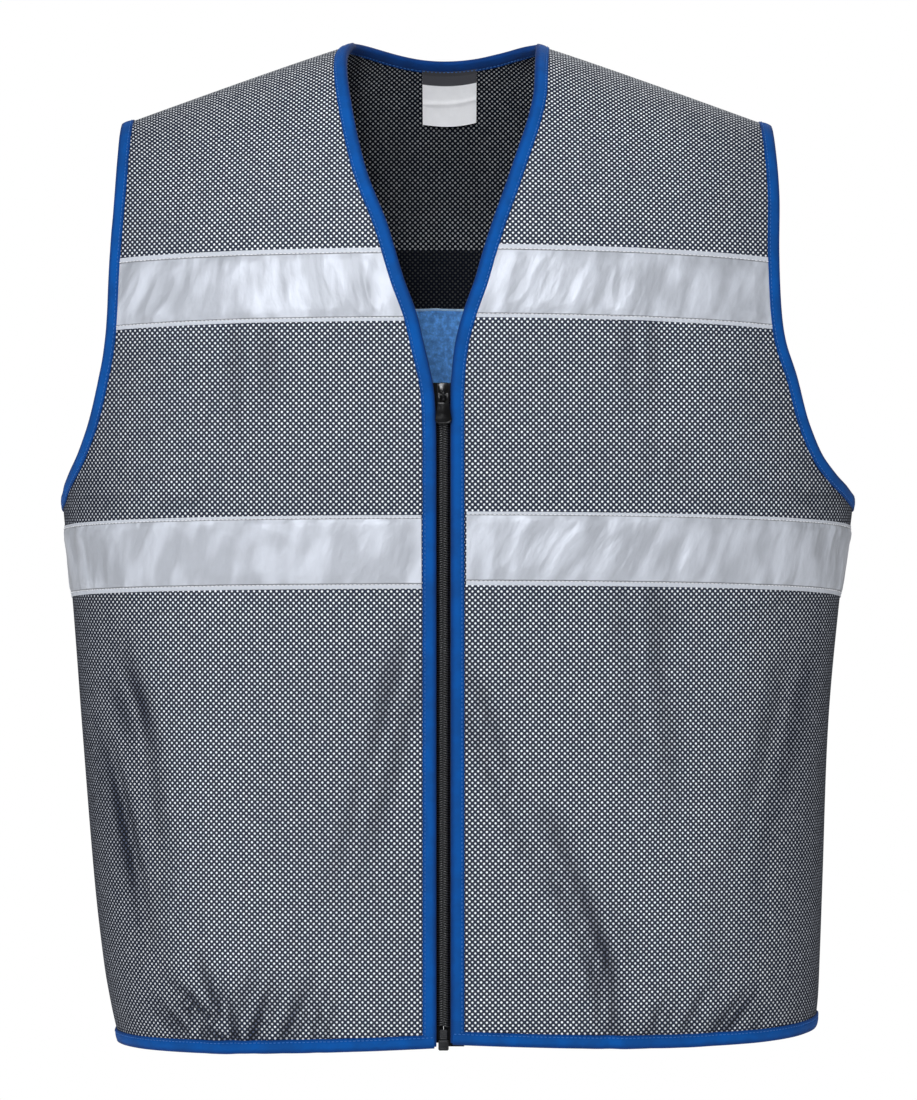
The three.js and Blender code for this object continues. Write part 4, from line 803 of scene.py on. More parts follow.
class Nodes:
    """Adds nodes to a tree and joins their sockets: a value that is a socket is linked, any
    other is set."""

    def __init__(self, tree):
        self.tree = tree
        tree.nodes.clear()

    def add(self, kind, sockets=None, **settings):
        """A node with its inputs and settings."""
        made = self.tree.nodes.new(kind)
        for key, value in settings.items():
            setattr(made, key, value)
        for key, value in (sockets or {}).items():
            self.put(made.inputs[key], value)
        return made

    def put(self, socket, value):
        """Links or sets one input."""
        if isinstance(value, bpy.types.NodeSocket):
            self.tree.links.new(value, socket)
        elif socket.type == "RGBA" and len(value) == 3:
            socket.default_value = (*value, 1)
        else:
            socket.default_value = value

    def math(self, operation, a, b=0.0):
        """The result of an operation on two numbers."""
        return self.add("ShaderNodeMath", {0: a, 1: b}, operation=operation).outputs[0]

    def linear(self, value, factor, offset):
        """The value times a factor, plus an offset."""
        return self.add("ShaderNodeMath", {0: value, 1: factor, 2: offset},
                        operation="MULTIPLY_ADD").outputs[0]

    def part(self, vector, axis):
        """One component of a vector."""
        return self.add("ShaderNodeSeparateXYZ", {0: vector}).outputs[axis]

    def value(self, name):
        """A float attribute of the mesh."""
        return self.add("ShaderNodeAttribute", attribute_name=name).outputs["Fac"]

    def mix(self, factor, a, b, blend="MIX"):
        """Two colours blended by a factor."""
        made = self.add("ShaderNodeMix", data_type="RGBA", blend_type=blend)
        for key, value in ((0, factor), (6, a), (7, b)):
            self.put(made.inputs[key], value)
        return made.outputs[2]

    def step(self, value, low, high):
        """0 below low and 1 above high, eased between, or the other way round."""
        made = self.add("ShaderNodeMapRange", {0: value, 1: low, 2: high},
                        interpolation_type="SMOOTHSTEP")
        return made.outputs[0]

    def noise(self, vector, scale, detail=3.0, rough=0.55):
        """Cloudy noise from 0 to 1."""
        made = self.add("ShaderNodeTexNoise", {"Vector": vector, "Scale": scale,
                                               "Detail": detail, "Roughness": rough})
        return made.outputs["Fac"]

    def group(self, name, sockets):
        """The outputs of a shared effect."""
        made = self.add("ShaderNodeGroup", node_tree=bpy.data.node_groups[name])
        for key, value in sockets.items():
            self.put(made.inputs[key], value)
        return made.outputs

    def bump(self, height, distance, strength=1.0, normal=None):
        """A normal tilted by a height, on top of another normal if one is given."""
        sockets = {"Height": height, "Distance": distance, "Strength": strength}
        if normal is not None:
            sockets["Normal"] = normal
        return self.add("ShaderNodeBump", sockets).outputs[0]

    def mottle(self, place, scale, dark, light):
        """Patches between a dark and a light colour."""
        return self.group("Mottle", {"Place": place, "Scale": scale, "Dark": dark,
                                     "Light": light})

    def seen_directly(self):
        """1 for what the camera sees, and 0 for the light that falls on the vest."""
        return self.add("ShaderNodeLightPath").outputs["Is Camera Ray"]

    def stretch(self, vector, scale, turn=0.0):
        """A place scaled by axis and turned about z."""
        made = self.add("ShaderNodeMapping", {"Vector": vector, "Scale": scale})
        made.inputs["Rotation"].default_value = (0, 0, turn)
        return made.outputs[0]

    def object_place(self):
        """Place on the piece in metres."""
        return self.add("ShaderNodeTexCoord").outputs["Object"]

    def flat_place(self):
        """Place on the flat cloth in millimetres."""
        return self.add("ShaderNodeUVMap", uv_map="metric").outputs[0]


def new_group(name, inputs, outputs):
    """An empty shader node group with named sockets, and its nodes' input and output."""
    tree = bpy.data.node_groups.new(name, "ShaderNodeTree")
    kinds = {"float": "NodeSocketFloat", "color": "NodeSocketColor", "vector": "NodeSocketVector"}
    nodes = Nodes(tree)
    for key, kind, default in inputs:
        socket = tree.interface.new_socket(key, in_out="INPUT", socket_type=kinds[kind])
        if default is not None:
            socket.default_value = (*default, 1) if kind == "color" else default
    for key, kind in outputs:
        tree.interface.new_socket(key, in_out="OUTPUT", socket_type=kinds[kind])
    start = nodes.add("NodeGroupInput")
    end = nodes.add("NodeGroupOutput")
    return nodes, start.outputs, end.inputs


def build_groups():
    """The effects that several materials share."""
    nodes, given, out = new_group(
        "Dotted net",
        [("Place", "vector", None), ("Pitch", "float", 3.2), ("Dot", "float", 0.5),
         ("Net", "color", (0, 0, 0)), ("Rim", "color", (0, 0, 0)),
         ("Hole", "color", (1, 1, 1))],
        [("Color", "color"), ("Height", "float"), ("Mask", "float")])
    scale = nodes.math("DIVIDE", math.sqrt(2), given["Pitch"])
    sized = nodes.add("ShaderNodeVectorMath", {0: given["Place"], "Scale": scale},
                      operation="SCALE").outputs[0]
    turned = nodes.stretch(sized, (1, 1, 1), math.pi / 4)
    cells = nodes.add("ShaderNodeTexVoronoi", {"Vector": turned, "Scale": 1.0,
                                               "Randomness": 0.0}, voronoi_dimensions="2D")
    shade = nodes.add("ShaderNodeSeparateColor", {0: cells.outputs["Color"]}).outputs[0]
    size = nodes.math("MULTIPLY", given["Dot"], nodes.linear(shade, 0.1, 0.95))
    reach = cells.outputs["Distance"]
    ring = nodes.step(reach, *(nodes.math("MULTIPLY", size, k) for k in (0.78, 1.14)))
    mask = nodes.math("SUBTRACT", 1.0, ring)
    bright = nodes.mix(nodes.linear(shade, 0.14, 0.86), (0, 0, 0), given["Hole"])
    # Painted shadow round each hole: darker threads near its edge, the net colour further out.
    lip = nodes.step(reach, *(nodes.math("MULTIPLY", size, k) for k in (1.1, 2.1)))
    thread = nodes.mix(lip, given["Rim"], given["Net"])
    nodes.put(out["Color"], nodes.mix(mask, thread, bright))
    nodes.put(out["Height"], ring)
    nodes.put(out["Mask"], mask)

    nodes, given, out = new_group(
        "Fine weave", [("Place", "vector", None), ("Across", "float", 1.0),
                       ("Along", "float", 1.0)],
        [("Height", "float")])
    waves = []
    for axis, count in enumerate(("Across", "Along")):
        turns = nodes.math("MULTIPLY", nodes.part(given["Place"], axis), given[count])
        waves.append(nodes.math("SINE", nodes.math("MULTIPLY", turns, 2 * math.pi)))
    nodes.put(out["Height"], nodes.linear(nodes.math("MULTIPLY", *waves), 0.5, 0.5))

    nodes, given, out = new_group(
        "Mottle", [("Place", "vector", None), ("Scale", "float", 40.0),
                   ("Dark", "color", (0, 0, 0)), ("Light", "color", (1, 1, 1))],
        [("Color", "color"), ("Fac", "float")])
    rough = nodes.noise(given["Place"], given["Scale"], 4.0, 0.6)
    spread = nodes.step(rough, 0.34, 0.66)
    nodes.put(out["Color"], nodes.mix(spread, given["Dark"], given["Light"]))
    nodes.put(out["Fac"], spread)


def new_material(name, look, *values):
    """A material with a Principled shader, whose sockets get what its look gives."""
    made = bpy.data.materials.new(name)
    made.use_nodes = True
    nodes = Nodes(made.node_tree)
    shader = nodes.add("ShaderNodeBsdfPrincipled", look(nodes, *values))
    nodes.add("ShaderNodeOutputMaterial", {"Surface": shader.outputs[0]})
    return made


def tone(colour, factor):
    """A colour made lighter or darker."""
    return tuple(min(1.0, v * factor) for v in colour[:3])


def net_look(nodes, sizes, net, hole, behind, tape_shadow_top, dim, gloss):
    """Dotted mesh, its holes dimmer in patches, with a painted shadow round each hole. Below a
    height the holes take a darker colour, the painted shadow of the tape behind the mesh;
    painted shade darkens it near the seams, at tilted folds and towards the side seams."""
    here = nodes.object_place()
    # Below the given height the holes take a darker colour: painted shadow of the back chest tape.
    edge = nodes.step(nodes.part(here, 2), tape_shadow_top - 0.0006, tape_shadow_top + 0.0006)
    patches = nodes.step(nodes.noise(here, 9.0, 2.0), 0.3, 0.7)
    dots = nodes.group("Dotted net", {
        "Place": nodes.flat_place(), "Pitch": sizes.dot_pitch / MM, "Dot": sizes.dot_size,
        "Net": net, "Rim": tone(net, 0.3),
        "Hole": nodes.mix(edge, behind, nodes.mix(patches, tone(hole, dim), hole))})
    # Painted shade along the seams: the colour darkens within a few millimetres of the seam plane.
    open_cloth = nodes.step(nodes.value("seam"), 0.3, 2.4)
    shade = nodes.mix(open_cloth, (0.45, 0.45, 0.48), (1, 1, 1))
    seam_shaded = nodes.mix(1.0, dots["Color"], shade, "MULTIPLY")
    # Painted shade from the slope value: darker at tilted folds and towards the side seams.
    return {"Base Color": nodes.mix(nodes.value("slope"), seam_shaded, (0.1, 0.12, 0.18), "MULTIPLY"),
            "Roughness": nodes.linear(dots["Mask"], 0.15, 0.72),
            "Normal": nodes.bump(dots["Height"], 0.0005, 0.7, nodes.bump(open_cloth, 0.0009)),
            "Specular IOR Level": gloss}


def cloth_look(nodes, colour, across, along, depth, rough, sheen, leg_middle=None):
    """Plain woven cloth: a fine weave, slow mottling and a soft sheen. A folded strip gets
    painted shade away from the middle of its outer leg, darker and bluer there."""
    dark = tone(colour, 0.8)
    weave = nodes.group("Fine weave", {"Place": nodes.flat_place(), "Across": across,
                                       "Along": along})["Height"]
    tones = nodes.mottle(nodes.object_place(), 55.0, dark, tone(colour, 1.12))
    woven = nodes.mix(0.45, tones["Color"], nodes.mix(weave, dark, tones["Color"]))
    if leg_middle:
        off = nodes.math("SUBTRACT", nodes.part(nodes.flat_place(), 1), leg_middle)
        # Painted shade on the binding: darker and bluer away from the middle of the outer leg.
        leg_edge_shade = nodes.step(nodes.math("ABSOLUTE", off), 1.6, 5.0)
        woven = nodes.mix(leg_edge_shade, woven, (0.5, 0.52, 0.6), "MULTIPLY")
    return {"Base Color": woven, "Roughness": nodes.linear(tones["Fac"], 0.08, rough),
            "Normal": nodes.bump(weave, depth, 0.6), "Sheen Weight": sheen,
            "Specular IOR Level": 0.15}


def thread_look(nodes, colour):
    """Sewing thread: fine slanted ply lines."""
    place = nodes.stretch(nodes.object_place(), (1, 1, 1), 0.5)
    ply = nodes.add("ShaderNodeTexWave", {"Vector": place, "Scale": 900.0,
                                          "Distortion": 1.0}).outputs["Fac"]
    return {"Base Color": nodes.mix(ply, tone(colour, 0.72), tone(colour, 1.1)),
            "Normal": nodes.bump(ply, 0.0001, 0.5), "Roughness": nodes.linear(ply, 0.1, 0.5)}


def tape_look(nodes, colour):
    """Silver reflective cloth: satin with crinkles that carry painted highlights and shade, duller
    flat strips outside its stitch lines, painted shade along them and fine glass-bead grain."""
    place = nodes.flat_place()
    off = nodes.math("SUBTRACT", nodes.part(place, 1), TAPE_HEIGHT / 2)
    inside = nodes.math("SUBTRACT", TAPE_HEIGHT / 2, nodes.math("ABSOLUTE", off))
    satin = nodes.step(inside, 3.0, 3.8)
    folds = nodes.noise(nodes.stretch(place, (0.058, 0.025, 1)), 1.0, 2.0, 0.4)
    fine = nodes.noise(nodes.stretch(place, (0.2, 0.1, 1)), 1.0, 2.0, 0.5)
    grain = nodes.noise(place, 3.2, 2.0)
    # Painted highlights and shade on the crinkles, from the noise that also bumps them.
    crinkle_shading = nodes.mix(nodes.step(folds, 0.4, 0.62), tone(colour, 0.76), tone(colour, 1.04))
    fleck = nodes.mix(nodes.math("MULTIPLY", grain, 0.16), crinkle_shading, tone(colour, 0.55))
    ground = nodes.mix(satin, tone(colour, 0.92), fleck)
    # Painted shade in the grooves along the stitch lines.
    past_stitches = nodes.math("SUBTRACT", 1.0, nodes.step(inside, 3.6, 4.4))
    stitch_groove_shade = nodes.math("MULTIPLY", nodes.step(inside, 2.7, 3.3), past_stitches)
    broad = nodes.bump(nodes.math("MULTIPLY", folds, satin), 0.006, 0.5)
    close = nodes.bump(nodes.math("MULTIPLY", fine, satin), 0.0012, 0.5, broad)
    rough = nodes.math("ADD", nodes.linear(fine, 0.16, 0.54), nodes.linear(satin, -0.1, 0.0))
    return {"Base Color": nodes.mix(nodes.math("MULTIPLY", stitch_groove_shade, 0.5), ground, tone(colour, 0.35)),
            "Roughness": rough, "Metallic": nodes.math("MULTIPLY", satin, 0.22),
            "Normal": nodes.bump(grain, 0.00008, 0.5, close), "Sheen Weight": 0.15}


def lining_look(nodes, dark, light, scale):
    """Absorbent felt: mottled colour and a pitted, fibrous surface."""
    place = nodes.object_place()
    tones = nodes.mottle(place, scale, dark, light)["Color"]
    pits = nodes.noise(place, 620.0, 3.0, 0.7)
    speck = nodes.mix(nodes.step(pits, 0.35, 0.7), tone(dark, 0.85), tones)
    swell = nodes.bump(nodes.noise(place, 60.0, 2.0), 0.004, 0.5)
    return {"Base Color": nodes.mix(0.5, tones, speck), "Roughness": nodes.linear(pits, 0.1, 0.85),
            "Normal": nodes.bump(pits, 0.0008, 0.8, swell), "Sheen Weight": 0.3}


def label_look(nodes, white, band):
    """Satin label: white, with a dark band along its upper edge and a darker hem over it."""
    place = nodes.flat_place()
    up = nodes.part(place, 1)
    weave = nodes.group("Fine weave", {"Place": place, "Across": 1.6, "Along": 2.4})["Height"]
    ground = nodes.mottle(place, 0.1, tone(white, 0.95), tone(white, 1.0))["Color"]
    for low, high, colour in ((10.1, 9.7, band), (1.5, 1.2, tone(band, 0.6))):
        over = nodes.step(up, LABEL_HEIGHT - low, LABEL_HEIGHT - high)
        ground = nodes.mix(over, ground, colour)
    return {"Base Color": nodes.mix(nodes.math("MULTIPLY", weave, 0.08), ground, tone(band, 0.8)),
            "Roughness": nodes.linear(weave, 0.12, 0.4),
            "Normal": nodes.bump(weave, 0.00012, 0.5), "Sheen Weight": 0.2}


def hard_look(nodes, colour, rough, gloss, depth):
    """Moulded nylon or enamelled metal: slight unevenness of tone, gloss and surface."""
    tones = nodes.mottle(nodes.object_place(), 160.0, tone(colour, 0.8), tone(colour, 1.3))
    return {"Base Color": tones["Color"], "Roughness": nodes.linear(tones["Fac"], 0.1, rough),
            "Normal": nodes.bump(tones["Fac"], depth, 0.4), "Specular IOR Level": gloss}


def paper_look(nodes, colour, glow, seen):
    """Pale paper of the stage, with a faint unevenness: it glows more to the eye than it
    lights the vest."""
    tones = nodes.mottle(nodes.object_place(), 1.5, tone(colour, 0.99), colour)
    shine = nodes.mix(nodes.seen_directly(), tone(colour, glow), tone(colour, seen))
    return {"Base Color": tones["Color"], "Emission Color": shine, "Emission Strength": 1.0,
            "Roughness": 0.9}


def material(name):
    """A material by name, built with the others when first asked for."""
    if name not in bpy.data.materials:
        build_materials(bpy.context.scene.vest_sizes, bpy.context.scene.vest_colours)
    return bpy.data.materials[name]


def build_materials(sizes, colours):
    """All the vest's materials, from its sizes and colours."""
    shades = {key: tuple(getattr(colours, key)) for key in COLOURS}
    net, dot, coil = shades["net"], shades["dot"], shades["zip_coil"]
    lining, edge = shades["lining"], shades["lining_edge"]
    nowhere = -9.0
    for name, look, *values in (
            ("net_outside", net_look, sizes, net, dot, dot, nowhere, 0.9, 0.25),
            # Painted shade inside the vest: a darker copy; near-black holes below the tape,
            # painted shadow.
            ("net_inside", net_look, sizes, tone(net, 0.22), tone(dot, 0.48), tone(dot, 0.05),
             -BACK_TAPE_TOP * MM, 0.6, 0.04),
            ("binding_cloth", cloth_look, shades["binding"], 1.5, 1.9, 0.0001, 0.78, 0.04, 4.6),
            ("zip_tape_cloth", cloth_look, shades["zip_cloth"], 0.9, 1.1, 0.0002, 0.82, 0.1),
            ("binding_thread", thread_look, shades["binding_thread"]),
            ("tape_thread", thread_look, shades["tape_thread"]),
            ("reflective_tape", tape_look, shades["tape"]),
            ("lining_felt", lining_look, tone(lining, 0.62), tone(lining, 1.35), 260.0),
            ("lining_roll", lining_look, tone(edge, 0.8), tone(edge, 1.15), 300.0),
            ("label_satin", label_look, shades["label"], shades["label_band"]),
            ("coil_nylon", hard_look, coil, 0.28, 0.7, 0.00006),
            ("slider_enamel", hard_look, shades["zip_metal"], 0.14, 0.3, 0.00002),
            ("end_nylon", hard_look, tone(coil, 1.4), 0.36, 0.4, 0.00006)):
        new_material(name, look, *values)


# pieces of cloth
PANEL_STEP = 4.0
STITCH_INSET = 3.4
TAPE_CROWN = 7
BINDING_STITCH = 6.2
HEM_EXTRA = 0.35
LINING_WALL = 2
COIL_SIDES = 7
SIDES = ((-1, "right"), (1, "left"))


def slope_shade(around, place, normal):
    """Painted shade for the net, from 0 to 1: with the tilt of the folds against the smooth body,
    and towards the side seams."""
    down, across = np.gradient(place, axis=0), np.gradient(place, axis=1)
    folded = unit(np.cross(down, across))
    tilt = np.sqrt(np.maximum(0, 1 - (folded * normal).sum(-1) ** 2))
    sides = np.clip((np.abs(around) - 0.6) / 0.9, 0, 1) ** 1.6
    return np.clip(4.2 * np.maximum(0, tilt - 0.04) + 0.9 * sides, 0, 1)


def build_panel(name, front, around, roll, node):
    """A mesh panel's closed sheet over a grid of angles, with its flat size. Its seams lie
    in the plane y = 0, so its seam value is the distance from there."""
    place, normal = cloth(front, around, roll)
    uv = metric_uv(front, around, roll, place)
    piece = shell(name, place, normal, 0, -CLOTH_WALL,
                  [material("net_outside"), material("net_inside")], uv,
                  values={"seam": np.abs(place[..., 1]),
                          "slope": slope_shade(around, place, normal)})
    ride_and_stand(piece, "vest", "mesh", node)


def tape_pucker(s, t, seed, depth):
    """Height of a sewn-down tape: a low crown between its stitch lines, crinkles that come
    and go, and short puckers beside the stitches."""
    inside = (TAPE_HEIGHT / 2 - np.abs(t - TAPE_HEIGHT / 2) - STITCH_INSET) / TAPE_CROWN
    inside = np.clip(inside, 0, 1)
    crown = 1 - (1 - inside) ** 2
    slant = s + 4 * value_noise(s / 60, t / 30, seed + 5)
    crest = 1 - 2.4 * np.abs(value_noise(slant / 12, t / 24, seed + 1))
    crinkle = value_noise(slant / 13, t / 60, seed) + 0.6 * crest
    vary = np.clip(0.55 + 0.6 * value_noise(s / 55, t / 60, seed + 2), 0.1, 1.2)
    beside = np.exp(-((inside * TAPE_CROWN - 1.5) / 2.5) ** 2)
    short = value_noise(s / 2.6, t / 9, seed + 3) * beside
    return depth * (crown * (0.9 + crinkle * vary) + 0.45 * short)


def build_tape(name, front, angles, seed, sizes, node, tucked):
    """A reflective tape over its rows of the cloth, flat at its tucked ends and with leaning
    crinkles. Gives its two stitch lines."""
    place, normal = cloth(front, *angles)
    steps = np.linalg.norm(np.diff(place, axis=1), axis=-1).mean(0)
    s, t = np.meshgrid(np.append(0, np.cumsum(steps)), np.linspace(0, TAPE_HEIGHT, len(place)))
    way = np.sign(place[0, -1, 0] - place[0, 0, 0])
    bent = 9 * value_noise(s / 70, t / 45, seed + 6)
    leaning = s * way - 0.22 * t + bent + 400
    flat = np.ones_like(s)
    for under, from_end in zip(tucked, (s, s.max() - s)):
        if under:
            flat = flat * np.clip((from_end - LEG_SPAN + 0.7) / 9, 0, 1)
    rise = np.maximum(0.3, 0.4 + flat * tape_pucker(leaning, t, seed, sizes.tape_pucker / MM))
    piece = shell(name, place, normal, rise, 0.1, [material("reflective_tape")],
                  np.stack([leaning, t], -1))
    ride_and_stand(piece, "vest", "reflective", node)
    lines = []
    for level in (STITCH_INSET, TAPE_HEIGHT - STITCH_INSET):
        k = round(level / TAPE_HEIGHT * (len(place) - 1))
        lines.append((place[k] + normal[k] * (rise[k][:, None] + 0.05), normal[k], False))
    return lines


def tape_rows(first):
    """Row numbers up a tape, one for about every 1.5 mm."""
    return np.linspace(first, first + 1, 34)


# settings in the sidebar
def length_property(name, description, default, low):
    """A length in metres for the sidebar."""
    return bpy.props.FloatProperty(name=name, description=description, default=default,
                                   min=low, subtype="DISTANCE", unit="LENGTH")


class VestSizes(bpy.types.PropertyGroup):
    """Sizes of the vest's finer details."""
    dot_pitch: length_property(
        "Dot pitch", "Distance between holes along a row of the mesh", 0.0039, 0.001)
    dot_size: bpy.props.FloatProperty(
        name="Dot size", description="Radius of a hole as a share of the lattice's step",
        default=0.29, min=0.1, max=0.7, subtype="FACTOR")
    binding_bulk: length_property(
        "Binding bulk", "Height of the folded bindings over the cloth", 0.0013, 0.0005)
    tape_pucker: length_property(
        "Tape pucker", "Height of the reflective tapes' crinkles", 0.0013, 0.0)
    stitch_pitch: length_property(
        "Stitch pitch", "Distance from one stitch to the next", 0.0029, 0.001)
    stitch_length: length_property(
        "Stitch length", "Length of thread that shows in each stitch", 0.0021, 0.0005)
    stitch_width: length_property("Stitch width", "Thickness of the thread", 0.0007, 0.0001)
    tooth_pitch: length_property(
        "Tooth pitch", "Distance from one turn of the zip's coil to the next", 0.0016, 0.0008)


# Name, what it colours, and its screen colour
COLOURS = {
    "net": ("Net", "Threads of the mesh", (34, 44, 66)),
    "dot": ("Holes", "White cloth behind the mesh's holes", (248, 251, 255)),
    "binding": ("Binding", "Folded edge bindings", (0, 78, 154)),
    "binding_thread": ("Binding thread", "Stitches of the bindings", (40, 104, 182)),
    "tape": ("Tape", "Silver reflective tapes", (198, 202, 211)),
    "tape_thread": ("Tape thread", "Stitches of the tapes", (240, 241, 244)),
    "lining": ("Lining", "Absorbent lining", (88, 154, 238)),
    "lining_edge": ("Lining edge", "Rolled upper edge of the lining", (176, 212, 250)),
    "label": ("Label", "Satin of the neck label", (252, 252, 254)),
    "label_band": ("Label band", "Band along the label's top", (62, 62, 68)),
    "zip_cloth": ("Zip tape", "Woven tapes of the zip", (8, 8, 10)),
    "zip_coil": ("Zip coil", "Nylon of the coil", (18, 18, 21)),
    "zip_metal": ("Zip slider", "Enamel of the slider and pull", (7, 7, 8)),
    "floor": ("Floor", "Paper of the floor", (250, 250, 250)),
}


class VestColours(bpy.types.PropertyGroup):
    """Colours of the vest's materials."""
    __annotations__ = {
        key: bpy.props.FloatVectorProperty(
            name=name, description=use, default=srgb(*shade), min=0, max=1, size=3,
            subtype="COLOR")
        for key, (name, use, shade) in COLOURS.items()}


# operators for the cloth
class VEST_OT_panels(bpy.types.Operator):
    """Builds the two mesh fronts and the back"""
    bl_idname = "vest.panels"
    bl_label = "Mesh panels"

    def execute(self, context):
        rows = row_numbers(0, TOP_ROW, PANEL_STEP)
        for sign, side in SIDES:
            around, roll = front_angles(sign, np.linspace(0, 1, 74), rows)
            build_panel(f"front_mesh_{side}", True, around, roll, f"front_panel_{side}")
        columns = np.concatenate([
            np.linspace(0, NECK_CORNER, 34), np.linspace(NECK_CORNER, 1 - NECK_CORNER, 80),
            np.linspace(1 - NECK_CORNER, 1, 34)])
        around, roll = back_angles(np.unique(np.round(columns, 9)),
                                   row_numbers(0, TOP_ROW, PANEL_STEP + 1))
        build_panel("back_mesh", False, around, roll, "back_panel")
        return {"FINISHED"}


class VEST_OT_tapes(bpy.types.Operator):
    """Builds the six reflective tapes and their stitches"""
    bl_idname = "vest.tapes"
    bl_label = "Reflective tapes"

    def execute(self, context):
        sizes = context.scene.vest_sizes
        lines = []
        for sign, side in SIDES:
            for kind, first, inner, outer in (("chest", CHEST_ROW, 0.024, 0.976),
                                              ("waist", WAIST_ROW, 0.021, 1.0)):
                angles = front_angles(sign, np.linspace(inner, outer, 190), tape_rows(first))
                lines += build_tape(f"{kind}_tape_cloth_{side}", True, angles, first + sign,
                                    sizes, f"{kind}_tape_{side}", (True, kind == "chest"))
        for kind, first, end in (("chest", CHEST_ROW, 0.013), ("waist", WAIST_ROW, 0.0)):
            angles = back_angles(np.linspace(end, 1 - end, 300), tape_rows(first))
            lines += build_tape(f"back_{kind}_tape_cloth", False, angles, first + 4, sizes,
                                f"back_{kind}_tape", (kind == "chest", kind == "chest"))
        stitches = build_stitches("tape_stitches", lines, "tape_thread", sizes)
        ride_and_stand(stitches, "vest", "reflective")
        return {"FINISHED"}


class VEST_OT_bindings(bpy.types.Operator):
    """Builds the four folded edge bindings and their stitches"""
    bl_idname = "vest.bindings"
    bl_label = "Edge bindings"

    def execute(self, context):
        sizes = context.scene.vest_sizes
        bulk = sizes.binding_bulk / MM
        for node, strip, height in (("neck_binding", neck_strip(), bulk),
                                    ("armhole_binding_right", arm_strip(-1), bulk),
                                    ("armhole_binding_left", arm_strip(1), bulk),
                                    ("hem_binding", hem_strip(), bulk + HEM_EXTRA)):
            name = node.replace("binding", "edge")
            piece = build_binding(name, strip, height, [material("binding_cloth")])
            ride_and_stand(piece, "vest", "binding", node)
            place, normal = strip.at(BINDING_STITCH)
            lines = [(place + normal * offset, normal * facing, strip.closed)
                     for offset, facing in ((height - 0.4, 1), (-CLOTH_WALL - height + 0.4, -1))]
            stitches = build_stitches(f"{name}_stitches", lines, "binding_thread", sizes)
            ride_and_stand(stitches, "vest", "binding")
        return {"FINISHED"}


class VEST_OT_lining(bpy.types.Operator):
    """Builds the absorbent lining inside the back, with its rolled upper edge"""
    bl_idname = "vest.lining"
    bl_label = "Cooling lining"

    def execute(self, context):
        heights = level_rows(False, -1)[0]
        share = (LINING_TOP + heights[CHEST_ROW]) / (heights[CHEST_ROW] - heights[TAPE_TOP_ROW])
        rows = np.append(row_numbers(1, CHEST_ROW, 5.5), CHEST_ROW + share)
        around, roll = back_angles(np.linspace(0.05, 0.95, 130), rows)
        place, normal = cloth(False, around, roll)
        uv = metric_uv(False, around, roll, place)
        x, z = place[..., 0], place[..., 2]
        swell = 0.35 * value_noise(x / 24, z / 24, 17) + 0.2 * value_noise(x / 9, z / 9, 21)
        high = -CLOTH_WALL - 0.3
        piece = shell("cooling_lining_felt", place, normal, high, high - LINING_WALL - swell,
                      [material("lining_felt")], uv)
        ride_and_stand(piece, "vest", "lining", "cooling_lining")
        self.roll(place, normal[-1], high - 1.2)
        return {"FINISHED"}

    def roll(self, place, normal, offset):
        """The lining's rolled edge: a flattened bar along the sheet's top row."""
        x = place[-1, :, 0]
        up = unit(place[-1] - place[-2])
        wave = 0.35 * value_noise(x / 7, 0 * x, 5)[:, None]
        rings = bar_rings(place[-1] + normal * offset + up * wave, normal, up, 1.7, 0.95, 12)
        edge = make_piece("cooling_lining_roll", *tube(rings), [material("lining_roll")])
        ride_and_stand(edge, "vest", "lining")


class VEST_OT_label(bpy.types.Operator):
    """Builds the plain satin label under the back neck binding"""
    bl_idname = "vest.label"
    bl_label = "Neck label"

    def execute(self, context):
        columns, rows, turn = 41, 45, 0.15
        x = LABEL_SHIFT + LABEL_WIDTH * np.linspace(-0.5, 0.5, columns)
        y = NECK_BACK * (1 - (x / NECK_HALF) ** 2) ** NECK_FULLNESS
        around, roll = angles_from_plan(x, y)
        reach = body_point(False, around, roll + turn) - body_point(False, around, roll)
        rate = np.linalg.norm(reach, axis=-1) / turn
        foot, head = LEG_SPAN + LABEL_HEIGHT - 1.3, LEG_SPAN - 1.8
        rolls = roll + np.linspace(foot, head, rows)[:, None] / rate
        place, normal = cloth(False, np.broadcast_to(around, rolls.shape), rolls)
        wide, up = np.meshgrid(x - LABEL_SHIFT, np.linspace(0, LABEL_HEIGHT + 3, rows))
        hang = np.clip(1 - up / LABEL_HEIGHT, 0, 1)
        crease = np.exp(-((up - 16 - 0.05 * wide) / 1.6) ** 2)
        curl = 2.2 * hang ** 1.5 + 0.7 * crease + 0.5 * hang * np.sin(wide / 7 + 1)
        high = -CLOTH_WALL - 0.7 - curl
        uv = np.stack([wide + LABEL_WIDTH / 2, np.minimum(up, LABEL_HEIGHT)], -1)
        piece = shell("neck_label_satin", place, normal, high, high - 0.35,
                      [material("label_satin")], uv)
        ride_and_stand(piece, "vest", "label", "neck_label")
        return {"FINISHED"}


# shape of the zip, in millimetres
TAPE_FACE = -3.6
TAPE_WALL = 1
TAPE_WIDTH = 14
COIL_FACE = -0.7
CHAIN_TOP = ZIP_TOP + 3.9
END_SIZE = 7
CHAIN_END = ZIP_FOOT - 7.3 - END_SIZE
SLIDER_WIDTH = 8.6
SLIDER_LENGTH = 13.5
HINGE_Y = -123.577
HINGE_Z = -222.9
PULL_LENGTH = 19.5

# One turn of the coil. Rows: distance across, height over the tape, drop down the chain and
# radius
COIL_TURN = np.array([
    (3.45, 0.15, 0.15, 0.25), (3.5, 1.3, 0.1, 0.5), (3.1, 2.05, 0.02, 0.55),
    (2.0, 2.3, -0.2, 0.55), (0.9, 2.3, -0.5, 0.55), (0.0, 2.05, -0.72, 0.58),
    (-0.45, 1.4, -0.75, 0.5), (-0.5, 0.7, -0.75, 0.25)])

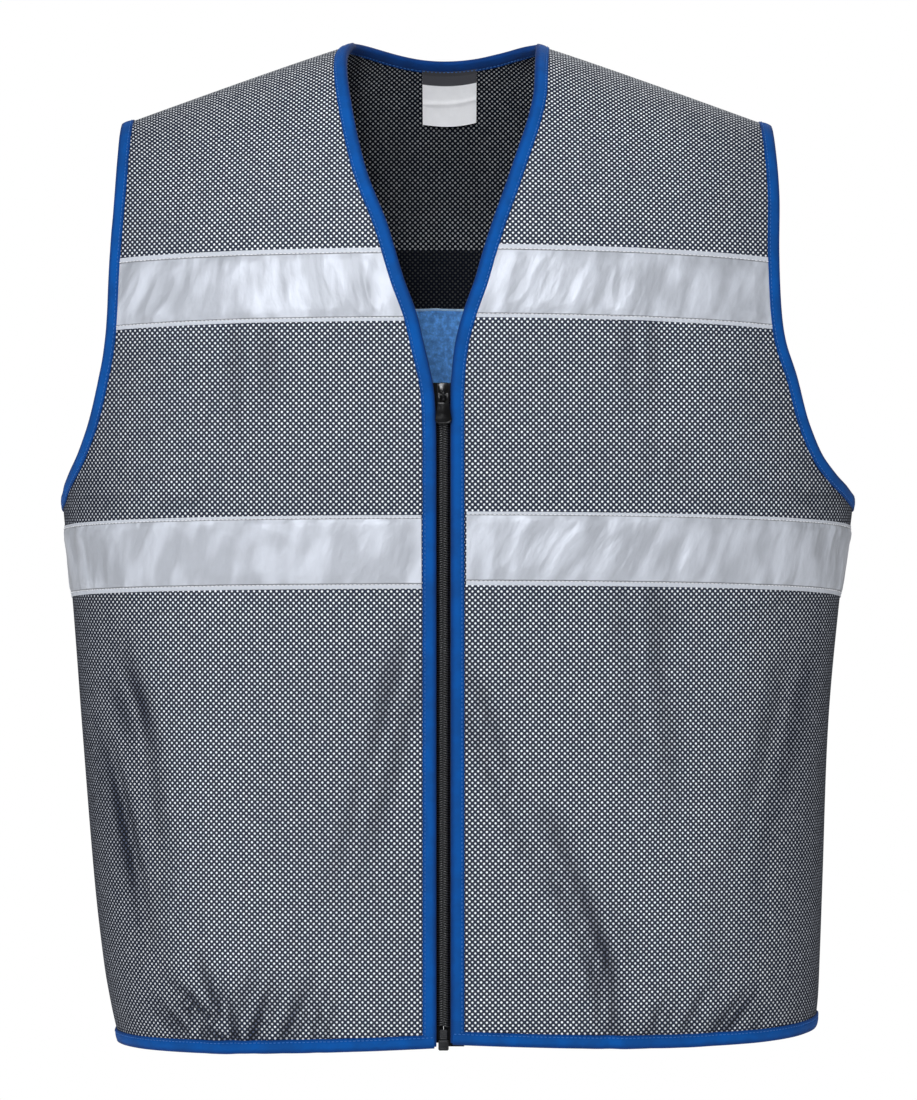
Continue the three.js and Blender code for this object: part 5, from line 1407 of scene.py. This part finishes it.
# Half-width of the pull. Rows: height over the hinge, half-width
PULL_SIDES = np.array([(-19.3, 4.0), (-18.3, 5.3), (-16.6, 5.65), (-12, 4.8), (-5.4, 3.75),
                       (0.4, 3.7), (1.0, 3.3)]).T


def zip_y(depth):
    """Where the cloth's face lies at the zip, at a depth below the mount."""
    depth = np.asarray(depth, float)
    return body_point(True, 0 * depth, roll_at(RIDGE_RISE + depth))[..., 1]


def rounded_outline(width, height, corner, count=24):
    """A rectangle with round corners about its middle, as points (x, z)."""
    turn = circle(count) + math.pi / count
    x, z = np.cos(turn), np.sin(turn)
    return np.stack([np.sign(x) * (width / 2 - corner) + corner * x,
                     np.sign(z) * (height / 2 - corner) + corner * z], -1)


def plate(outline, layers, x=0.0, z=0.0):
    """Points and faces of a plate: the outline, moved to (x, z), drawn in by each layer's
    inset at the layer's depth."""
    middle = outline.mean(0)
    arm = outline - middle
    size = np.abs(arm).max(0)
    rings = [np.insert(middle + (x, z) + arm * (1 - inset / size), 1, depth, axis=1)
             for depth, inset in layers]
    return tube(np.array(rings))


def bevelled(front, back, bevel):
    """Layers of a plate from back to front with rounded edges."""
    steps = [(0, 1), (0.3, 0.29), (0.65, 0.06), (1, 0)]
    return ([(back - bevel * a, bevel * b) for a, b in steps]
            + [(front + bevel * a, bevel * b) for a, b in steps[::-1]])


def merged(name, look, parts):
    """One mesh from several (points, faces) parts."""
    points, faces, start = [], [], 0
    for part_points, part_faces in parts:
        points.append(part_points)
        faces += [[v + start for v in f] for f in part_faces]
        start += len(part_points)
    return make_piece(name, np.concatenate(points), faces, [material(look)], sharp=40)


# operators for the zip
class VEST_OT_zip_chain(bpy.types.Operator):
    """Builds the zip's woven tapes and the turns of its two coils"""
    bl_idname = "vest.zip_chain"
    bl_label = "Zip tapes and coils"

    def execute(self, context):
        for sign, side in SIDES:
            self.tape(sign, side)
            self.coil(sign, side, context.scene.vest_sizes.tooth_pitch / MM)
        return {"FINISHED"}

    def tape(self, sign, side):
        """A woven tape, wider apart above the chain."""
        depth = np.linspace(ZIP_TOP, ZIP_FOOT - (5 if sign < 0 else 2.5), 190)[:, None]
        inner = np.where(depth < CHAIN_TOP, 1.5, 0.12)
        x = sign * (inner + (TAPE_WIDTH - inner) * np.linspace(0, 1, 12))
        offset = TAPE_FACE + 0.06 * value_noise(depth / 6, x / 4, 31)
        place = np.stack([x, zip_y(depth) - offset, -depth + 0 * x], -1)
        normal = np.broadcast_to((0.0, -1.0, 0.0), place.shape)
        piece = shell(f"zip_tape_cloth_{side}", place, normal, 0, -TAPE_WALL,
                      [material("zip_tape_cloth")], place[..., ::2])
        ride_and_stand(piece, "vest", "zip_cloth", f"zip_tape_{side}")

    def coil(self, sign, side, pitch):
        """Turns of the coil: each a round bar from the coil's outside to the middle, bent
        down at both ends and slanted, one after another down the chain."""
        count = int((CHAIN_END - CHAIN_TOP) / pitch)
        start = CHAIN_TOP + (0.5 * pitch if sign > 0 else 0.0) + np.arange(count) * pitch
        across, height, drop, radius = COIL_TURN.T
        path = np.stack([sign * across, -(TAPE_FACE + height), drop], -1)
        ahead = unit(np.gradient(path, axis=0))
        lift = unit(np.cross(ahead, (0.0, 0.0, 1.0)))
        radius = radius[:, None]
        flat = bar_rings(path, lift, unit(np.cross(lift, ahead)), radius, radius, COIL_SIDES)
        per = len(COIL_TURN) * COIL_SIDES
        outwards = (flat - flat.mean(1, keepdims=True)) * (1, 1, -1)
        flat = flat.reshape(-1, 3)
        drops = start[:, None] + flat[:, 2]
        points = np.stack([np.broadcast_to(flat[:, 0], drops.shape),
                           zip_y(start)[:, None] + flat[:, 1], -drops], -1)
        faces = outward(points[0], grid_faces(len(COIL_TURN), COIL_SIDES, False, True),
                        outwards.reshape(-1, 3))
        every = (faces + (np.arange(count) * per)[:, None, None]).reshape(-1, 4)
        piece = make_piece(f"zip_coil_turns_{side}", points.reshape(-1, 3), every.tolist(),
                           [material("coil_nylon")], sharp=180)
        ride_and_stand(piece, "vest", "zip_coil", f"zip_coil_{side}")


class VEST_OT_slider(bpy.types.Operator):
    """Builds the zip's slider with its bridge, and the swinging pull"""
    bl_idname = "vest.slider"
    bl_label = "Slider and pull"

    def execute(self, context):
        half = SLIDER_LENGTH / 2
        middle = ZIP_TOP + half
        face = float(zip_y(middle))
        crown = rounded_outline(SLIDER_WIDTH, SLIDER_LENGTH, 2.6, 48)
        crown[:, 0] *= 1 - 0.16 * np.clip(-crown[:, 1] / half, 0, 1) ** 2
        parts = [plate(crown, bevelled(face + front, face + back, bevel), z=-middle)
                 for front, back, bevel in ((-1.0, 0.4, 0.6), (4.9, 6.3, 0.5))]
        lip = rounded_outline(0.85, SLIDER_LENGTH - 1.1, 0.4)
        parts += [plate(lip, bevelled(face - 0.2, face + 3.3, 0.2), x, -middle)
                  for x in (-3.8, 3.8)]
        nose = rounded_outline(2.4, 3.6, 0.8)
        parts.append(plate(nose, bevelled(face - 0.2, face + 5.4, 0.2), z=-(ZIP_TOP + 1.9)))
        parts.append(self.bridge(face))
        slider = merged("zip_slider_body", "slider_enamel", parts)
        ride_and_stand(slider, "vest", "zip_metal", "zip_slider")
        self.pull()
        return {"FINISHED"}

    def bridge(self, face):
        """The arch over the slider: a rounded bar along a half loop, squared a little."""
        turn = np.linspace(-0.06, 1.06, 24) * math.pi
        top, foot, square = ZIP_TOP + 4.6, ZIP_TOP + 12.9, 0.55
        swing = np.sign(np.cos(turn)) * np.abs(np.cos(turn)) ** square
        z = ((foot - top) / 2 - 0.5) * swing - (top + foot) / 2
        y = face - 0.7 - 3.75 * np.maximum(0, np.sin(turn)) ** square
        path = np.stack([0 * turn, y, z], -1)
        side = np.array([1.0, 0, 0])
        lift = unit(np.cross(side, unit(np.gradient(path, axis=0))))
        return tube(bar_rings(path, side, lift, 0.85, 0.6, 10))

    def pull(self):
        """The pull: a plate flared downwards with a window round the bridge, a crossbar
        and a raised rim along its lower end."""
        z = np.linspace(1.0, -PULL_LENGTH, 40)[:-1]
        side = np.interp(z, *PULL_SIDES)
        tab_top, tab_half = -5.2, 3.75
        foot_x = np.linspace(4.0, -4.0, 9)[1:-1]
        foot_z = -19.3 - 0.35 * (1 - (foot_x / 4) ** 2)
        outline = np.concatenate([np.stack([side, z], -1), np.stack([foot_x, foot_z], -1),
                                  np.stack([-side, z], -1)[::-1]])
        tab = np.concatenate([outline[outline[:, 1] < tab_top],
                              [[-tab_half, tab_top], [tab_half, tab_top]]])
        thickness = ((0.8, 0.5), (0.72, 0.16), (0.45, 0), (-0.45, 0), (-0.75, 0.16), (-0.85, 0.5))
        parts = [plate(tab, [(HINGE_Y + y, inset) for y, inset in thickness], z=HINGE_Z)]
        arm = rounded_outline(1.9, 7.4, 0.6)
        parts += [plate(arm, bevelled(HINGE_Y - 0.55, HINGE_Y + 0.55, 0.22), x, HINGE_Z - 2.4)
                  for x in (-2.78, 2.78)]
        parts += [self.crossbar(), self.rim()]
        pull = merged("zip_pull_tab", "slider_enamel", parts)
        ride_and_stand(pull, "pull", "zip_metal", "zip_pull")

    def crossbar(self):
        """The bar that turns under the bridge, with rounded ends."""
        rows = ((-3.5, 0.45), (-3.3, 0.72), (3.3, 0.72), (3.5, 0.45))
        path = np.array([(x, HINGE_Y, HINGE_Z) for x, _ in rows])
        radius = np.array([[reach] for _, reach in rows])
        axes = np.array([0, 1.0, 0]), np.array([0, 0, 1.0])
        return tube(bar_rings(path, *axes, radius, radius, 12))

    def rim(self):
        """The raised rim along the pull's lower end, turned up at both corners."""
        share = np.linspace(-1, 1, 21)
        path = np.stack([5.1 * share, np.full(21, HINGE_Y - 0.75),
                         HINGE_Z - 18.7 + 1.9 * share ** 4], -1)
        out = np.array([0, -1.0, 0])
        across = unit(np.cross(unit(np.gradient(path, axis=0)), out))
        return tube(bar_rings(path, out, across, 0.42, 0.5, 12))


class VEST_OT_zip_end(bpy.types.Operator):
    """Builds the ribbed pin sleeve and the box at the zip's lower end"""
    bl_idname = "vest.zip_end"
    bl_label = "Zip box and pin"

    def execute(self, context):
        top = ZIP_FOOT - END_SIZE
        face = float(zip_y(top))
        middle = face - (COIL_FACE + TAPE_FACE - TAPE_WALL) / 2
        block = rounded_outline(END_SIZE, END_SIZE, 1.2, 48)
        parts = [plate(block, bevelled(middle - 2.0, middle + 2.0, 0.5), z=-top - END_SIZE / 2)]
        line = rounded_outline(5.2, 1.0, 0.45)
        parts += [plate(line, bevelled(middle - 2.35, middle - 2.0, 0.3), z=-top - drop)
                  for drop in (1.3, 5.6)]
        ride_and_stand(merged("zip_box_block", "end_nylon", parts), "vest", "zip_coil", "zip_box")
        top -= END_SIZE
        near, far = face - COIL_FACE, face - TAPE_FACE
        core = rounded_outline(4.9, 6.6, 0.7, 32)
        parts = [plate(core, bevelled(near + 0.35, far - 0.4, 0.2), z=-top - 3.4)]
        rib = rounded_outline(5.2, 0.9, 0.42)
        parts += [plate(rib, bevelled(near + 0.1, near + 0.9, 0.3), z=-top - 0.9 - 1.28 * k)
                  for k in range(5)]
        ride_and_stand(merged("zip_pin_sleeve", "end_nylon", parts), "vest", "zip_coil", "zip_pin")
        return {"FINISHED"}


# the stage, in metres. Rows: kind, place, aim, size and power
LIGHTS = {
    "light_front": ("AREA", (-0.5, -2.7, 0.95), (0, 0, -0.3), 1.0, 47),
    "light_left": ("AREA", (-1.9, -1.6, 0.3), (0, 0, -0.3), 1.2, 10),
    "light_right": ("AREA", (2.0, -1.6, 0.2), (0, 0, -0.35), 1.2, 5),
    "light_neck": ("AREA", (-0.2, -2.3, 0.42), (0, 0, -0.03), 0.4, 5),
    "light_label": ("SPOT", (-0.2, -2.3, 0.42), (0, 0, -0.01), 0.15, 60),
    "light_top": ("AREA", (0.0, -0.7, 1.8), (0, 0, -0.2), 1.4, 6),
    "light_back": ("AREA", (0.4, 1.5, 0.9), (0, 0, -0.3), 1.4, 12),
}
LIGHT_COLOUR = (0.955, 0.975, 1.0)
FLOOR_RADIUS = 4.0
FLOOR_HEIGHT = -1.35
CAMERA_PLACE = (0.0101, -2.7, -0.327)
SENSOR = 36
PHOTO_HEIGHT = 1100
LENS_IN_PIXELS = 3839


class VEST_OT_stage(bpy.types.Operator):
    """Builds the pale floor, the white surround, the soft lights and the camera"""
    bl_idname = "vest.stage"
    bl_label = "Stage"

    def execute(self, context):
        scene = context.scene
        paper = new_material("stage_paper", paper_look, tuple(scene.vest_colours.floor), 0.3, 0.82)
        turn = circle(72)
        ring = np.stack([FLOOR_RADIUS * np.cos(turn), FLOOR_RADIUS * np.sin(turn),
                         np.full(72, FLOOR_HEIGHT)], -1) / MM
        make_piece("stage_floor", ring, [list(range(72))], [paper])
        for name, values in LIGHTS.items():
            self.light(scene, name, *values)
        self.surround(scene)
        self.camera(scene)
        return {"FINISHED"}

    def light(self, scene, name, kind, place, aim, size, power):
        """A lamp at a place that points at its aim."""
        lamp = bpy.data.lights.new(name, kind)
        lamp.energy = power
        if kind == "SPOT":
            lamp.shadow_soft_size = size
            lamp.spot_size, lamp.spot_blend = math.radians(8), 0.9
        else:
            lamp.shape, lamp.size, lamp.color = "SQUARE", size, LIGHT_COLOUR
        made = bpy.data.objects.new(name, lamp)
        made.location = place
        made.rotation_mode = "QUATERNION"
        made.rotation_quaternion = (Vector(aim) - Vector(place)).to_track_quat("-Z", "Y")
        scene.collection.objects.link(made)

    def surround(self, scene):
        """A world that looks white and gives a soft, even light."""
        world = bpy.data.worlds.new("studio")
        world.use_nodes = True
        nodes = Nodes(world.node_tree)
        glow, seen = (nodes.add("ShaderNodeBackground", {"Color": (1, 1, 1), "Strength": power})
                      for power in (0.2, 1.0))
        both = nodes.add("ShaderNodeMixShader", {0: nodes.seen_directly(), 1: glow.outputs[0],
                                                 2: seen.outputs[0]})
        nodes.add("ShaderNodeOutputWorld", {"Surface": both.outputs[0]})
        scene.world = world
        scene.view_settings.view_transform = "Standard"

    def camera(self, scene):
        """The photo's camera: level, in front of the vest."""
        lens = bpy.data.cameras.new("photo_camera")
        lens.sensor_width = SENSOR
        lens.lens = LENS_IN_PIXELS / PHOTO_HEIGHT * SENSOR
        lens.clip_end = 100
        camera = bpy.data.objects.new("photo_camera", lens)
        camera.location = CAMERA_PLACE
        camera.rotation_euler = (QUARTER, 0, 0)
        scene.collection.objects.link(camera)
        scene.camera = camera


OPERATORS = (VEST_OT_stage, VEST_OT_panels, VEST_OT_bindings, VEST_OT_tapes, VEST_OT_lining,
             VEST_OT_label, VEST_OT_zip_chain, VEST_OT_slider, VEST_OT_zip_end)


class VEST_PT_sidebar(bpy.types.Panel):
    """Lists the vest's sizes, colours and pieces"""
    bl_label = "Cooling vest"
    bl_idname = "VEST_PT_sidebar"
    bl_space_type = "VIEW_3D"
    bl_region_type = "UI"
    bl_category = "Vest"

    def draw(self, context):
        for group in (context.scene.vest_sizes, context.scene.vest_colours):
            column = self.layout.column()
            for key in group.bl_rna.properties.keys():
                if key not in ("rna_type", "name"):
                    column.prop(group, key)
        for operator in OPERATORS:
            self.layout.operator(operator.bl_idname)


CLASSES = (VestSizes, VestColours, *OPERATORS, VEST_PT_sidebar)


def register():
    for made in CLASSES:
        bpy.utils.register_class(made)
    bpy.types.Scene.vest_sizes = bpy.props.PointerProperty(type=VestSizes)
    bpy.types.Scene.vest_colours = bpy.props.PointerProperty(type=VestColours)


def unregister():
    del bpy.types.Scene.vest_colours
    del bpy.types.Scene.vest_sizes
    for made in reversed(CLASSES):
        bpy.utils.unregister_class(made)


def main():
    register()
    build_groups()
    for operator in OPERATORS:
        group, name = operator.bl_idname.split(".")
        getattr(getattr(bpy.ops, group), name)()


if __name__ == "__main__":
    main()
